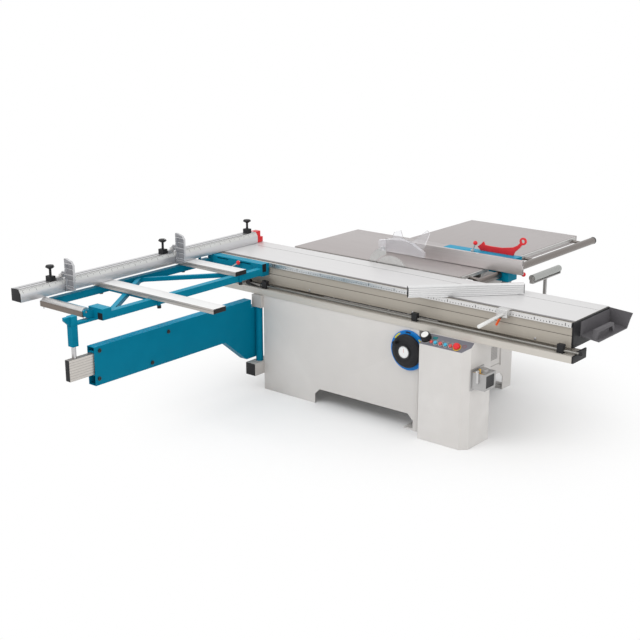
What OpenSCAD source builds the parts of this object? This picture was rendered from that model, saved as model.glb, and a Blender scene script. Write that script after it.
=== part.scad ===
// Sliding table saw: a floor cabinet with a tilting saw unit, a long sliding carriage on a fixed beam,
// a crosscut table carried by the carriage and a telescopic swing arm, and a rip fence on a round guide bar.
// Millimetres. The origin is the centre of the cabinet's footprint on the floor, +X runs along the slide
// towards the operator's end, +Y runs towards the rip fence and +Z is up.

/* [Cabinet] */
// Length of the cabinet along the slide
cabinet_l = 1290; // [1240:10:1340]
// Depth of the cabinet across the slide
cabinet_d = 1144; // [1120:4:1180]
// Height of the cabinet's top plate
cabinet_h = 674; // [660:2:690]
// Thickness of the cabinet's side walls
cabinet_wall = 5; // [4:0.5:7]
// Thickness of the cabinet's top plate
top_plate_t = 8; // [6:1:10]
// Length of the long foot at the outfeed end of the front
long_foot_l = 454; // [400:2:500]
// Length of the short foot at the operator's end of the front
short_foot_l = 34; // [30:2:60]
// Height of the toe space in the front and the back
toe_h = 105; // [80:5:120]
// Run of the slope at each end of the toe space
toe_slope = 40; // [30:5:60]
// Depth of the feet on the two ends
side_foot_d = 112; // [100:2:130]
// Height of the toe space in the two ends
side_toe_h = 135; // [110:5:150]
// Diameter of the anchor holes in the foot plates
anchor_d = 14; // [12:1:18]
// Distance from the cabinet's corner to an anchor hole, both ways
anchor_inset = 55; // [45:1:65]
// Outside diameter of the dust spigot
dust_d = 120; // [100:5:140]
// Length of the dust spigot
dust_l = 60; // [50:5:80]

/* [Beam and carriage] */
// Height of the table surface above the floor
table_h = 890; // [884:1:894]
// Length of the fixed beam
beam_l = 2748; // [2600:4:2900]
// Width of the fixed beam
beam_w = 160; // [150:2:170]
// Height of the fixed beam
beam_h = 42; // [40:1:46]
// Length of beam that stands out past the outfeed end of the cabinet
beam_overhang = 415; // [380:5:450]
// Length of the sliding carriage
carriage_l = 2800; // [2700:10:2900]
// Width of the sliding carriage
carriage_w = 447; // [440:1:455]
// Width of the thin lip on the blade side of the carriage
lip_w = 117; // [110:1:125]
// Thickness of that lip
lip_t = 14; // [12:1:15]
// Length of carriage that stands out past the outfeed end of the cabinet
carriage_overhang = 515; // [480:5:550]
// Distance from the cabinet's front to the carriage's near edge
carriage_setback = 76; // [74:1:80]
// Wall thickness of the carriage extrusion
carriage_wall = 6; // [4:0.5:8]
// Diameter of the saddle's rollers
saddle_roller_d = 20; // [18:1:22]
// Diameter of the carriage lock rod
lock_rod_d = 18; // [16:1:20]

/* [Tables and guide bar] */
// Length of the main table along the slide
main_table_l = 1407; // [1380:1:1440]
// Width of the main table across the slide
main_table_w = 747; // [720:1:780]
// Thickness of the main table
table_t = 30; // [26:1:31]
// Length of main table that stands out past the outfeed end of the cabinet
table_overhang = 190; // [160:5:210]
// Length of the extension table
extension_l = 923; // [880:1:960]
// Width of the extension table
extension_w = 854; // [800:2:900]
// Depth of the extension table's folded edge
extension_t = 50; // [40:2:60]
// Diameter of the rip fence's guide bar
guide_d = 50; // [44:1:52]
// Length of the guide bar
guide_l = 1620; // [1500:10:1660]
// Distance from the tables' operator edge to the guide bar's axis
guide_stand = 116; // [108:1:130]
// Depth of the guide bar's axis under the table surface
guide_drop = 26; // [26:1:32]

/* [Rip fence] */
// Length of the rip fence plate
rip_plate_l = 1102; // [1000:2:1200]
// Height of the rip fence plate
rip_plate_h = 97; // [90:1:110]
// Thickness of the rip fence plate
rip_plate_t = 20; // [16:1:24]
// Distance from the blade to the rip fence plate
rip_gap = 288; // [260:2:320]
// Length of the push stick
push_stick_l = 370; // [340:5:400]

/* [Crosscut table] */
// Width and height of the frame tubes
tube_s = 45; // [40:1:48]
// Distance between the axes of the two long tubes
tube_span = 487; // [460:1:510]
// Length of the long tubes
tube_l = 1372; // [1340:2:1400]
// Length of the crosscut fence
fence_l = 2099; // [2000:1:2150]
// Width of the crosscut fence
fence_w = 90; // [84:1:100]
// Height of the crosscut fence
fence_h = 77; // [70:1:84]
// Length of the outer support bar
bar_1_l = 1070; // [1000:5:1130]
// Length of the inner support bar
bar_2_l = 555; // [550:5:640]
// Width of the support bars
bar_w = 106; // [96:1:112]
// Diameter of the end roller
end_roller_d = 50; // [46:1:54]
// Height of a stop flag
flag_h = 210; // [190:2:220]
// Reach of a stop flag in front of the fence
flag_w = 82; // [74:1:90]
// Length of the mitre fence on the carriage
mitre_l = 717; // [680:1:740]
// Height of the mitre fence
mitre_h = 70; // [60:1:80]

/* [Swing arm] */
// Length of the swing arm from its hinge to its outer end
arm_l = 1439; // [1400:1:1470]
// Thickness of the swing arm
arm_t = 65; // [60:1:70]
// Height of the swing arm
arm_h = 245; // [225:1:255]
// Diameter of the hinge column
column_d = 50; // [46:1:54]
// Height of the telescopic tube
slide_tube_h = 132; // [120:1:140]
// Width of the telescopic tube
slide_tube_w = 40; // [36:1:44]
// Length of the telescopic tube
slide_tube_l = 1430; // [1400:5:1460]
// Side of the post's square sleeve
post_s = 44; // [40:1:50]

/* [Saw unit] */
// Diameter of the main blade
blade_d = 300; // [290:2:310]
// Thickness of the main blade
blade_t = 3.2; // [2.8:0.1:3.6]
// Height of the main blade above the table at rest
blade_rise = 65; // [58:1:70]
// Gap from the carriage to the blade's middle plane, and from there to the main table
blade_gap = 15; // [14:0.5:17]
// Distance of the blade's axis from the cabinet's middle, along the slide
blade_x = 40; // [30:1:50]
// Diameter of the scoring blade
scoring_d = 120; // [110:1:124]
// Diameter of the main arbor in its housing
arbor_d = 35; // [32:1:38]
// Diameter of the guide columns of the blade lift
lift_column_d = 40; // [36:1:42]
// Diameter of the lift screw
lift_screw_d = 24; // [20:1:26]
// Diameter of the main motor
motor_d = 190; // [180:1:200]
// Length of the main motor
motor_l = 262; // [240:2:280]
// Outer radius of the trunnion's guide ribs about the tilt axis
rib_r = 320; // [318:1:322]

/* [Controls] */
// Diameter of the tilt handwheel
wheel_d = 215; // [200:1:225]
// Outside diameter of the ring behind the handwheel
ring_d = 258; // [250:1:262]
// Width of the control box along the slide
box_w = 346; // [330:1:360]
// Depth of the control box
box_d = 268; // [250:1:280]
// Distance from the cabinet's end to the control box
box_gap = 63; // [60:1:70]
// Height of the lower edge of the sloped panel
panel_low_h = 620; // [600:1:630]
// Diameter of the large knob on the panel
knob_d = 68; // [60:1:70]
// Diameter of a push button
button_d = 22; // [18:1:24]
// Diameter of the stop button's head
estop_d = 44; // [40:1:46]

/* [Hidden] */
$fn = 48;

// Shared clearances and the overrun of cuts
run_gap = 0.3;
shaft_gap = 0.05;
rest_gap = 2;
overrun = 1;

// Cabinet faces
cab_x0 = -cabinet_l / 2;
cab_x1 = cabinet_l / 2;
cab_y0 = -cabinet_d / 2;
cab_y1 = cabinet_d / 2;
foot_plate_l = 2 * anchor_inset;
foot_plate_t = 8;
dust_wall = 3;
dust_y = 150;
dust_z = 320;

// Beam and carriage faces
beam_proud = 4;
beam_x0 = cab_x0 - beam_overhang;
beam_x1 = beam_x0 + beam_l;
beam_y0 = cab_y0 - beam_proud;
beam_y1 = beam_y0 + beam_w;
beam_top = cabinet_h + beam_h;
beam_wall = 6;
car_x0 = cab_x0 - carriage_overhang;
car_x1 = car_x0 + carriage_l;
car_y0 = cab_y0 + carriage_setback;
car_y1 = car_y0 + carriage_w;
car_z0 = beam_top + saddle_roller_d + 2 * run_gap;
car_lip_y = car_y1 - lip_w;
car_bevel = 80;
slot_w = 8;
slot_depth = 12;
slot_inset = 4;
side_groove = 3;
side_groove_z_share = 0.46;
rail_proud = 12;
rail_h = 30;
rail_drop = 2;
rail_y0 = car_y0 - rail_proud;
rail_z1 = table_h - rail_drop;
rail_z0 = rail_z1 - rail_h;

// Carriage lock rod and the fittings on the beam
rod_stand = 50;
rod_y_pos = car_y0 - rod_stand;
grip_d = 26;
rod_z_pos = beam_top + norm([grip_d, lock_rod_d]) / 2 + run_gap;
rod_overhang = 170;
rod_x0 = cab_x0 - rod_overhang;
rod_tail = 40;
rod_x1 = beam_x1 + rod_tail;
grip_l = 130;
ball_end_d = 26;
block_l = 40;
block_w = 30;
block_h = 52;
block_shares = [0.065, 0.554, 0.951];
beam_cap_t = 10;
beam_cap_rise = 17;

// Saddle between the beam and the carriage
saddle_l = 900;
saddle_w = 80;
saddle_t = 8;
saddle_roller_l = 30;
saddle_rows = 6;
saddle_y = beam_y1 - saddle_w / 2 - rest_gap;
saddle_x = (beam_x0 + beam_x1 + car_x0 + car_x1) / 4;

// Blade, tilt axis and tables
saw_y = car_y1 + blade_gap;
tab_y0 = saw_y + blade_gap;
tab_z0 = table_h - table_t;
tab_x0 = cab_x0 - table_overhang;
tab_x1 = tab_x0 + main_table_l;
tab_y1 = tab_y0 + main_table_w;
ext_x0 = tab_x1 - extension_l;
ext_y1 = tab_y1 + extension_w;
ext_wall = 5;
riser_w = 60;
riser_inset = 30;
riser_inset_front = 10;
riser_y0 = tab_y0 + riser_inset_front;
riser_inset_back = 10;
riser_y1 = cab_y1 - riser_inset_back;
well_y1 = saw_y + rib_r + rest_gap;
strut_s = 50;
strut_seat = 60;
strut_drop_share = 0.45;
strut_reach_share = 0.4;
strut_place_shares = [0.15, 0.85];
guide_x = tab_x1 + guide_stand;
guide_z = table_h - guide_drop;
guide_setback = 9;
guide_y0 = tab_y0 + guide_setback;
guide_y1 = guide_y0 + guide_l;
stud_d = 22;
stud_shares = [0.06, 0.5, 0.94];
scale_rail_t = 16;
scale_rail_h = 20;
scale_drop = 3;
cap_t = 8;
cap_rim = 3;

// Saw unit
blade_z = table_h + blade_rise - blade_d / 2;
blade_teeth = 48;
tooth_depth_share = 0.035;
bore_d = 30;
flange_d = 70;
flange_t = 20;
outer_flange_t = 3.4;
nut_d = 46;
nut_t = 11;
slide_half_l = 165;
slide_x0 = blade_x - slide_half_l;
slide_x1 = blade_x + slide_half_l;
slide_standoff = 29;
slide_y0 = saw_y + slide_standoff;
slide_block_w = 90;
slide_y1 = slide_y0 + slide_block_w;
slide_below = 80;
slide_z0 = blade_z - slide_below;
slide_above = 40;
slide_z1 = blade_z + slide_above;
column_inset = 45;
column_y = slide_y0 + column_inset;
column_dx = 130;
screw_dx = 72;
nose_d = 66;
nose_l = 6;
pulley_gap = 12;
pulley_w = 46;
arbor_pulley_d = 72;
motor_pulley_d = 96;
belt_t = 6;
belt_gap = 0.6;
belt_w = 40;
pulley_y0 = slide_y1 + pulley_gap;
pulley_y1 = pulley_y0 + pulley_w;
motor_plate_gap = 3;
motor_plate_y0 = pulley_y1 + motor_plate_gap;
motor_plate_t = 12;
motor_plate_y1 = motor_plate_y0 + motor_plate_t;
motor_plate_w = 240;
motor_drop = 245;
motor_z = blade_z - motor_drop;
motor_shaft_d = 28;
motor_shaft_hole_d = 44;
motor_seat = 12;
motor_cover_share = 0.88;
motor_cover_l = 45;
rib_w = 24;
knife_t = 2.5;
knife_gap = 8;
knife_w = 57;
knife_a0 = 107;
knife_a1 = 196;
knife_arm_h = 30;
knife_arm_l = 90;
knife_arm_reach = 25;
guard_pin_d = 8;
guard_pin_a = 114;
guard_pin_share = 0.72;
guard_w = 26;
guard_wall = 3;
guard_l = 370;
guard_front_share = 0.2;
guard_back_share = 0.17;
guard_h = 105;
guard_heel_l = 18;
guard_heel_h = 30;
guard_back = 108;
back_fin = [[0.27, 0.82], [0.34, 1.33], [0.48, 1.51], [0.52, 1.14], [0.56, 0.94]];
front_fin = [[0.66, 0.86], [0.75, 0.93], [1.05, 1.76], [1.11, 1.6], [0.97, 0.45], [0.9, 0.45]];
guard_x0 = blade_x - guard_back;
guard_lift = 90;
guard_z0 = table_h + guard_lift;

// Trunnion and its guides
rib_t = 20;
gear_worm_gap = 0.5;
end_plate_t = 12;
gear_t = 24;
rib_l = 16;
beam_setback = 6;
worm_d = 32;
wheel_inset = 73.5;
wheel_x = cab_x1 - wheel_inset;
cradle_reach = 137;
cradle_x0 = slide_x0 - cradle_reach;
cradle_x1 = wheel_x - worm_d / 2 - overrun - end_plate_t;
rib_a0 = -80;
rib_a1 = -18;
gear_a0 = -93;
gear_a1 = -41;
web_a = -60;
beam_low_h = 30;
beam_low_w = 40;
beam_low_drop = 365;
beam_low_z0 = blade_z - beam_low_drop;
beam_low_z1 = beam_low_z0 + beam_low_h;
lift_motor_h = 70;
lift_motor_s = 80;
scoring_dx = 235;
scoring_rise = 2;
scoring_t = 3.6;
scoring_shaft_d = 20;
scoring_flange_d = 40;
scoring_flange_t = 6;
scoring_house_d = 50;
scoring_house_l = 75;
scoring_pulley_d = 50;
scoring_pulley_w = 24;
scoring_post_s = 44;
scoring_motor_d = 110;
scoring_motor_l = 160;
scoring_motor_drop = 250;
scoring_x = blade_x + scoring_dx;
scoring_z = table_h + scoring_rise - scoring_d / 2;
cross_beam_s = 50;
cross_beam_h = 60;
cross_beam_gap = 10;
cross_beam_z1 = table_h - rib_r - cross_beam_gap;
guide_block_off = 64;
guide_block_y0 = saw_y + guide_block_off;
guide_block_end = 139;
guide_block_y1 = saw_y + guide_block_end;
guide_block_h = 70;

// Handwheel and worm shaft
gear_r = 345.5;
wheel_z = table_h - gear_r - gear_worm_gap - worm_d / 2;
worm_l = 90;
wheel_shaft_d = 20;
ring_t = 14;
ring_bush_d = 46;
wheel_t = 40;
wheel_rim_d = 34;
wheel_hub_d = 110;
dial_d = 92;
dial_t = 6;
crank_d = 24;
crank_l = 34;
crank_r_share = 0.74;
crank_a = 45;
worm_block_w = 20;
worm_block_h = 46;

// Control box
box_x0 = cab_x1 + box_gap;
box_x1 = box_x0 + box_w;
box_proud = 88;
box_y0 = cab_y0 - box_proud;
box_y1 = box_y0 + box_d;
box_top = cabinet_h - rest_gap;
panel_setback = 9;
panel_back_y = beam_y0 - panel_setback;
box_chamfer = 42;
box_wall = 4;
neck_inset = 52;
neck_y0 = cab_y0 + neck_inset;
neck_w = 110;
neck_y1 = neck_y0 + neck_w;
neck_z0 = 60;
neck_z1 = 600;
panel_run = panel_back_y - box_y0;
panel_rise = box_top - panel_low_h;
panel_slope = atan2(panel_rise, panel_run);
panel_len = norm([panel_run, panel_rise]);
knob_share = [0.075, 0.52];
button_row_share = 0.30;
button_first_share = 0.30;
button_step_share = 0.105;
estop_share = [0.735, 0.36];
knob_h = 38;
knob_top_share = 0.86;
button_h = 9;
button_stem_d = 10;
button_stem_l = 16;
button_travel = 4;
estop_h = 20;
estop_stem_d = 18;
estop_travel = 5;
pump_l = 96;
pump_w = 120;
pump_h = 105;
pump_inset = 52;
pump_y0 = box_y0 + pump_inset;
pump_z0 = 392;
pump_plate_t = 6;
pump_plate_rim = 14;
pump_cap_d = 54;
pump_cap_h = 14;
pump_valve_d = 16;
pump_valve_h = 26;
pump_window_t = 3;
pump_pivot_d = 16;
pump_lever_l = 80;
pump_lever_w = 14;
pump_lever_t = 10;

// Infeed roller
in_roller_d = 46;
in_roller_l = 360;
in_roller_out = 222;
in_roller_x = guide_x + in_roller_out;
in_arm_inset = 66;
in_roller_y0 = cab_y1 - in_arm_inset - in_roller_l / 2;
in_roller_z = table_h - rest_gap - in_roller_d / 2;
in_roller_pin_d = 12;
in_ear_t = 5;
in_post_s = 28;
in_stem_s = 18;
in_arm_drop = 30;
in_arm_z1 = cabinet_h - in_arm_drop;
in_yoke_t = 6;
in_yoke_drop = 34;
in_arm_s = 40;

// Swing arm
hinge_out = 42;
hinge_x = cab_x0 - hinge_out;
hinge_proud = 1;
hinge_y = cab_y0 - hinge_proud;
bracket_s = 85;
bracket_l = 180;
bracket_wall = 4;
upper_reach = 25;
lower_reach = 86;
upper_bracket_z0 = cabinet_h - rest_gap - bracket_s;
lower_bracket_z0 = 115;
hinge_pin_d = 24;
column_z0 = lower_bracket_z0 + bracket_s + run_gap;
column_z1 = upper_bracket_z0 - run_gap;
arm_drop = 34;
arm_top_z = cabinet_h - arm_drop;
arm_x1 = hinge_x - column_d / 2;
arm_x0 = arm_x1 - arm_t;
arm_wall = 5;
arm_y0 = hinge_y - arm_l;
arm_y1 = hinge_y + column_d / 2;
arm_bottom_z = arm_top_z - arm_h;
arm_notch_l = 75;
arm_root_l = 129;
arm_slope_l = 207;
arm_root_rise = 25;
slide_mid_rise = 14;
slide_mid_z = (arm_top_z + arm_bottom_z) / 2 + slide_mid_rise;
slide_z0_pos = slide_mid_z - slide_tube_h / 2;
slide_z1_pos = slide_mid_z + slide_tube_h / 2;
slide_x_mid = (arm_x0 + arm_x1) / 2;
slide_out = 175;
slide_y0_pos = arm_y0 - slide_out;
slide_wall = 4;
arm_web_t = 10;
post_out = 128;
post_y = arm_y0 - post_out;
post_rod_d = 28;
post_rod_l = 76;
post_drop = 89;
post_top_z = table_h - post_drop;
post_gusset = 40;
post_gusset_h = 58;
pad_rise = 58;

// Crosscut table frame
far_tube_inset = 5;
far_tube_x = car_x0 + far_tube_inset;
near_tube_x = far_tube_x + tube_span;
bar_t = 30;
bar_z1 = table_h;
bar_z0 = bar_z1 - bar_t;
tube_z1 = bar_z0 - run_gap;
tube_z0 = tube_z1 - tube_s;
tube_wall = 3;
inner_w = 70;
inner_x0 = car_x0;
inner_tail = 24;
inner_x1 = inner_x0 + tube_span + inner_tail;
inner_y1 = rail_y0 - run_gap;
inner_y0 = inner_y1 - inner_w;
inner_z1 = table_h - rest_gap;
inner_drop = 12;
inner_z0 = tube_z0 - inner_drop;
inner_top_t = 5;
inner_slot_l = 105;
inner_slot_h = 9;
inner_slot_drop = 9;
inner_slot_shares = [0.285, 0.694];
tube_y1 = inner_y0;
tube_y0 = tube_y1 - tube_l;
cross_s = 28;
cross_share = 0.319;
brace_s = 30;
brace_in_s = 27;
brace_apex_share = 0.83;
brace_out_share = 0.342;
brace_in_share = 0.053;
roller_out = 90;
roller_y = tube_y0 - roller_out;
roller_z = table_h - 1 - end_roller_d / 2;
roller_pin_d = 14;
roller_end_gap = 1;
ear_t = 8;
ear_drop = 22;
far_ear_inset = 25;
near_ear_out = 50;
end_block_out = 40;
end_block_w = 125;
end_block_in = 30;
end_block_rise = 24;
bar_1_out = 1044;
bar_1_y = car_y0 - bar_1_out;
bar_2_out = 306;
bar_2_y = car_y0 - bar_2_out;
bar_overhang = 40;
bar_x0 = car_x0 - bar_overhang;
bar_wall = 4;
bar_cap_t = 10;
clamp_t = 8;
clamp_w = 24;
clamp_knob_d = 26;
clamp_foot_t = 6;
clamp_reach = 20;
clamp_low_z = tube_z0 - clamp_reach;
lever_boss_d = 26;
lever_boss_h = 14;
frame_boss_l = 36;
lever_stem_d = 10;
lever_stem_l = 92;
lever_ball_d = 30;
lever_x_share = 0.45;
lever_z_drop = 60;
lever_lean = 60;

// Crosscut fence and its stops
fence_lead = 52;
fence_x1 = car_x0 + fence_lead;
fence_x0 = fence_x1 - fence_w;
fence_setback = 64;
fence_y1 = car_y1 - fence_setback;
fence_y0 = fence_y1 - fence_l;
fence_z0 = table_h + rest_gap;
fence_z1 = fence_z0 + fence_h;
fence_wall = 4;
fence_cap_t = 10;
fence_chamfer_w = 18;
fence_chamfer_h = 26;
fence_outline = [[fence_x0, fence_z0], [fence_x1, fence_z0], [fence_x1, fence_z1 - fence_chamfer_h],
    [fence_x1 - fence_chamfer_w, fence_z1], [fence_x0, fence_z1]];
groove_w = 8;
groove_depth = 6;
groove_shares = [0.36, 0.72];
fence_pin_d = 20;
fence_pin_inset = 86;
fence_pin_y = tube_y1 - fence_pin_inset;
splinter_l = 60;
splinter_w = 70;
splinter_step_share = 0.5;
stop_1_out = 1462;
stop_1_y = car_y0 - stop_1_out;
stop_2_out = 516;
stop_2_y = car_y0 - stop_2_out;
clamp_3_in = 320;
clamp_3_y = car_y0 + clamp_3_in;
stop_block_l = 40;
stop_block_w = 46;
stop_block_h = 32;
stop_stem_d = 16;
stop_stem_h = 56;
stop_knob_d = 58;
stop_knob_h = 20;
hinge_rod_d = 14;
hinge_lug_t = 10;
hinge_arm_l = 40;
hinge_arm_h = 20;
hinge_rod_inset = 28;
hinge_rod_x = fence_x1 - hinge_rod_inset;
hinge_rod_rise = 26;
hinge_rod_z = fence_z1 + hinge_rod_rise;
hinge_eye_d = 30;
flag_t = 16;
hinge_rod_l = hinge_lug_t + flag_t + 2 * rest_gap;
flag_wall = 6;
flag_arm_h = 24;
flag_round = 36;

// Push handle and mitre fence on the carriage
handle_place = 2363;
handle_x = car_x0 + handle_place;
handle_l = 77;
handle_h = 46;
handle_w = 34;
handle_rod_d = 22;
handle_rod_l = 240;
handle_rod_tilt = 8;
handle_rod_yaw = 7.5;
handle_seat = 14;
handle_foot_h = 7;
push_lever_d = 14;
push_lever_l = 52;
push_lever_hub_d = 22;
push_lever_hub_h = 12;
push_lever_lean = 25;
mitre_place = 1925;
mitre_x = car_x0 + mitre_place;
mitre_t = 28;
mitre_angle = 45.7;
mitre_near_share = 0.312;
mitre_wall = 4;
mitre_ribs = 4;
mitre_rib_depth = 2;
mitre_cap_t = 5;

// Carriage ends and tray
end_t = 12;
tray_l = 150;
tray_t = 6;
tray_floor_drop = 112;
tray_floor_slope = 14;
tray_wall_inset = 8;
tray_wall_y = car_y1 - tray_wall_inset;
tray_near_inset = 78;
tray_near_y = car_y0 + tray_near_inset;
tray_wall_lip = 12;
tray_wall_cut = 30;
tray_back_t = 5;
tray_handle_l = 240;
tray_handle_inset = 8;
tray_handle_h = 62;
tray_handle_t = 26;
tray_handle_bar = 18;
tray_handle_x_share = 0.55;

// Service door
door_inset = 148;
door_y1 = cab_y1 - door_inset;
door_w = 596;
door_z0 = 205;
door_h = 395;
door_t = 4;
door_gap = 3;
door_hinge_d = 12;
door_louvres = 9;
door_louvre_l = 105;
door_louvre_inset = 48;
door_louvre_rise = 45;
door_louvre_h = 5;
door_louvre_pitch = 11;

// Rip fence
plate_y0 = saw_y + rip_gap;
plate_y1 = plate_y0 + rip_plate_t;
plate_lead = 267;
plate_x0 = blade_x - plate_lead;
plate_x1 = plate_x0 + rip_plate_l;
plate_lift = 1;
plate_z0 = table_h + rest_gap + plate_lift;
plate_z1 = plate_z0 + rip_plate_h;
plate_wall = 4;
plate_slot_h = 14;
plate_slot_depth = 8;
body_y0 = plate_y1 + run_gap;
body_w = 120;
body_l = 565;
body_lead = 463;
body_x0 = guide_x - body_lead;
body_x1 = body_x0 + body_l;
body_drop = 8;
body_z1 = plate_z1 - body_drop;
head_w = 110;
head_l = 150;
head_wall = 14;
head_z0 = guide_z - guide_d / 2 - head_wall;
key_h = 12;
key_l = 7;
rip_lever_lead = 227;
rip_lever_x = guide_x - rip_lever_lead;
rip_lever_l = 60;
rip_lever_lean = 20;
rip_lock_pin_d = 10;
rip_lock_pin_l = 24;
rip_lock_boss_l = 16;
rip_lock_inset = 28;
rip_lock_rise = 4;
rip_lock_y = body_y0 + rip_lock_inset;
rip_lock_z = plate_z0 + rip_lock_rise;
rip_lock_l = 62;
rip_lock_lean = 98;
stick_t = 14;
stick_shares = [[0, 0.062], [0.07, 0], [0.75, 0], [0.78, 0.07], [0.87, 0.15], [0.94, 0.245], [0.9, 0.27],
    [0.83, 0.2], [0.74, 0.15], [0.51, 0.108], [0.28, 0.103], [0.15, 0.11], [0.12, 0.17], [0.07, 0.116]];
stick_inset = 6;
stick_ring_shares = [0.935, 0.285];
stick_ring_d_share = 0.135;
stick_ring_hole_share = 0.07;
stick_tail = 137;
stick_x1 = guide_x + stick_tail;

// Helper solids

// A box between two opposite corners
module box_between(lo, hi) {
    translate(lo) cube(hi - lo);
}

// Round rods along each axis
module rod_x(x0, x1, y, z, d) {
    translate([x0, y, z]) rotate([0, 90, 0]) cylinder(h = x1 - x0, d = d);
}
module rod_y(y0, y1, x, z, d) {
    translate([x, y0, z]) rotate([-90, 0, 0]) cylinder(h = y1 - y0, d = d);
}
module rod_z(z0, z1, x, y, d) {
    translate([x, y, z0]) cylinder(h = z1 - z0, d = d);
}

// A flat outline in Y and Z, drawn out along X
module along_x(x0, x1) {
    translate([x0, 0, 0]) rotate([90, 0, 90]) linear_extrude(x1 - x0) children();
}

// A flat outline in X and Z, drawn out along Y
module along_y(y0, y1) {
    translate([0, y1, 0]) rotate([90, 0, 0]) linear_extrude(y1 - y0) children();
}

// A rectangular tube between two corners, open along one axis (0 is X, 1 is Y, 2 is Z)
module box_tube(lo, hi, wall, axis) {
    inset = [for (i = [0:2]) i == axis ? -overrun : wall];
    difference() {
        box_between(lo, hi);
        box_between(lo + inset, hi - inset);
    }
}

// A flat rectangle between two corners
module flat_between(lo, hi) {
    translate(lo) square(hi - lo);
}

// A ring sector about the origin, cut from a ring by a wedge
module true_sector(r0, r1, a0, a1) {
    far = 2 * r1;
    difference() {
        intersection() {
            circle(r1, $fn = 96);
            polygon([[0, 0], far * [cos(a0), sin(a0)], far * [cos((a0 + a1) / 2), sin((a0 + a1) / 2)],
                far * [cos(a1), sin(a1)]]);
        }
        circle(r0, $fn = 96);
    }
}

// Cabinet, doors and what stands on it

// Toe space outline between two ends, with sloped corners
module toe_outline(a0, a1, h, slope) {
    polygon([[a0, -overrun], [a0, h - slope], [a0 + slope, h], [a1 - slope, h], [a1, h - slope],
        [a1, -overrun]]);
}

module cabinet() {
    well_x0 = cradle_x0 - rib_l - cross_beam_s;
    well_y0 = beam_y1 - rest_gap;
    well_x1 = wheel_x + gear_t / 2 + rib_l + rest_gap;
    color("gainsboro")
    difference() {
        union() {
            difference() {
                box_between([cab_x0, cab_y0, 0], [cab_x1, cab_y1, cabinet_h]);
                box_between([cab_x0 + cabinet_wall, cab_y0 + cabinet_wall, -overrun],
                    [cab_x1 - cabinet_wall, cab_y1 - cabinet_wall, cabinet_h - top_plate_t]);
            }
            for (x = [cab_x0, cab_x1 - foot_plate_l], y = [cab_y0, cab_y1 - foot_plate_l])
                box_between([x, y, 0], [x + foot_plate_l, y + foot_plate_l, foot_plate_t]);
            rod_x(cab_x0 - dust_l, cab_x0, dust_y, dust_z, dust_d);
            door_hinge();
        }
        box_between([well_x0, well_y0, cabinet_h - top_plate_t - overrun],
            [well_x1, well_y1, cabinet_h + overrun]);
        box_between([blade_x - motor_d / 2 - motor_seat, well_y1 - overrun,
            cabinet_h - top_plate_t - overrun],
            [blade_x + motor_d / 2 + motor_seat, motor_plate_y1 + motor_l + motor_seat,
                cabinet_h + overrun]);
        for (y = [cab_y0 - overrun, cab_y1 - cabinet_wall - overrun / 2])
            along_y(y, y + cabinet_wall + 2 * overrun)
                toe_outline(cab_x0 + long_foot_l, cab_x1 - short_foot_l, toe_h, toe_slope);
        for (x = [cab_x0 - overrun, cab_x1 - cabinet_wall - overrun / 2])
            along_x(x, x + cabinet_wall + 2 * overrun)
                toe_outline(cab_y0 + side_foot_d, cab_y1 - side_foot_d, side_toe_h, toe_slope);
        box_between([cab_x1 - cabinet_wall - overrun, door_y1 - door_w, door_z0],
            [cab_x1 + overrun, door_y1, door_z0 + door_h]);
        for (x = [-1, 1], y = [-1, 1])
            rod_z(-overrun, foot_plate_t + overrun, x * (cab_x1 - anchor_inset), y * (cab_y1 - anchor_inset),
                anchor_d);
        rod_x(cab_x0 - dust_l - overrun, cab_x0 + cabinet_wall + overrun, dust_y, dust_z,
            dust_d - 2 * dust_wall);
        rod_y(cab_y0 - overrun, cab_y0 + cabinet_wall + overrun, wheel_x, wheel_z, ring_bush_d);
    }
}

// Two lugs on the cabinet's end with the pin that the door's knuckle turns on
module door_hinge() {
    y = door_y1 - door_gap - door_hinge_d / 2;
    for (z = [door_z0 - door_hinge_d, door_z0 + door_h])
        box_between([cab_x1, y - door_hinge_d / 2, z],
            [cab_x1 + door_hinge_d, y + door_hinge_d / 2, z + door_hinge_d]);
    rod_z(door_z0, door_z0 + door_h, cab_x1 + door_hinge_d / 2, y, door_hinge_d / 2 - 2 * shaft_gap);
}

module service_door() {
    louvre_y0 = door_y1 - door_louvre_l - door_louvre_inset;
    color("whitesmoke")
    difference() {
        union() {
            box_between([cab_x1 - door_t, door_y1 - door_w + door_gap, door_z0 + door_gap],
                [cab_x1, door_y1 - door_gap, door_z0 + door_h - door_gap]);
            rod_z(door_z0 + door_gap, door_z0 + door_h - door_gap, cab_x1 + door_hinge_d / 2,
                door_y1 - door_gap - door_hinge_d / 2, door_hinge_d);
            box_between([cab_x1, door_y1 - door_gap - door_hinge_d, door_z0 + door_gap],
                [cab_x1 + door_hinge_d / 2, door_y1 - door_gap, door_z0 + door_h - door_gap]);
        }
        for (i = [0:door_louvres - 1])
            translate([cab_x1 - door_t - overrun, louvre_y0,
                door_z0 + door_louvre_rise + i * door_louvre_pitch])
                cube([door_t + 2 * overrun, door_louvre_l, door_louvre_h]);
        rod_z(door_z0, door_z0 + door_h, cab_x1 + door_hinge_d / 2, door_y1 - door_gap - door_hinge_d / 2,
            door_hinge_d / 2);
    }
}

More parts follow.
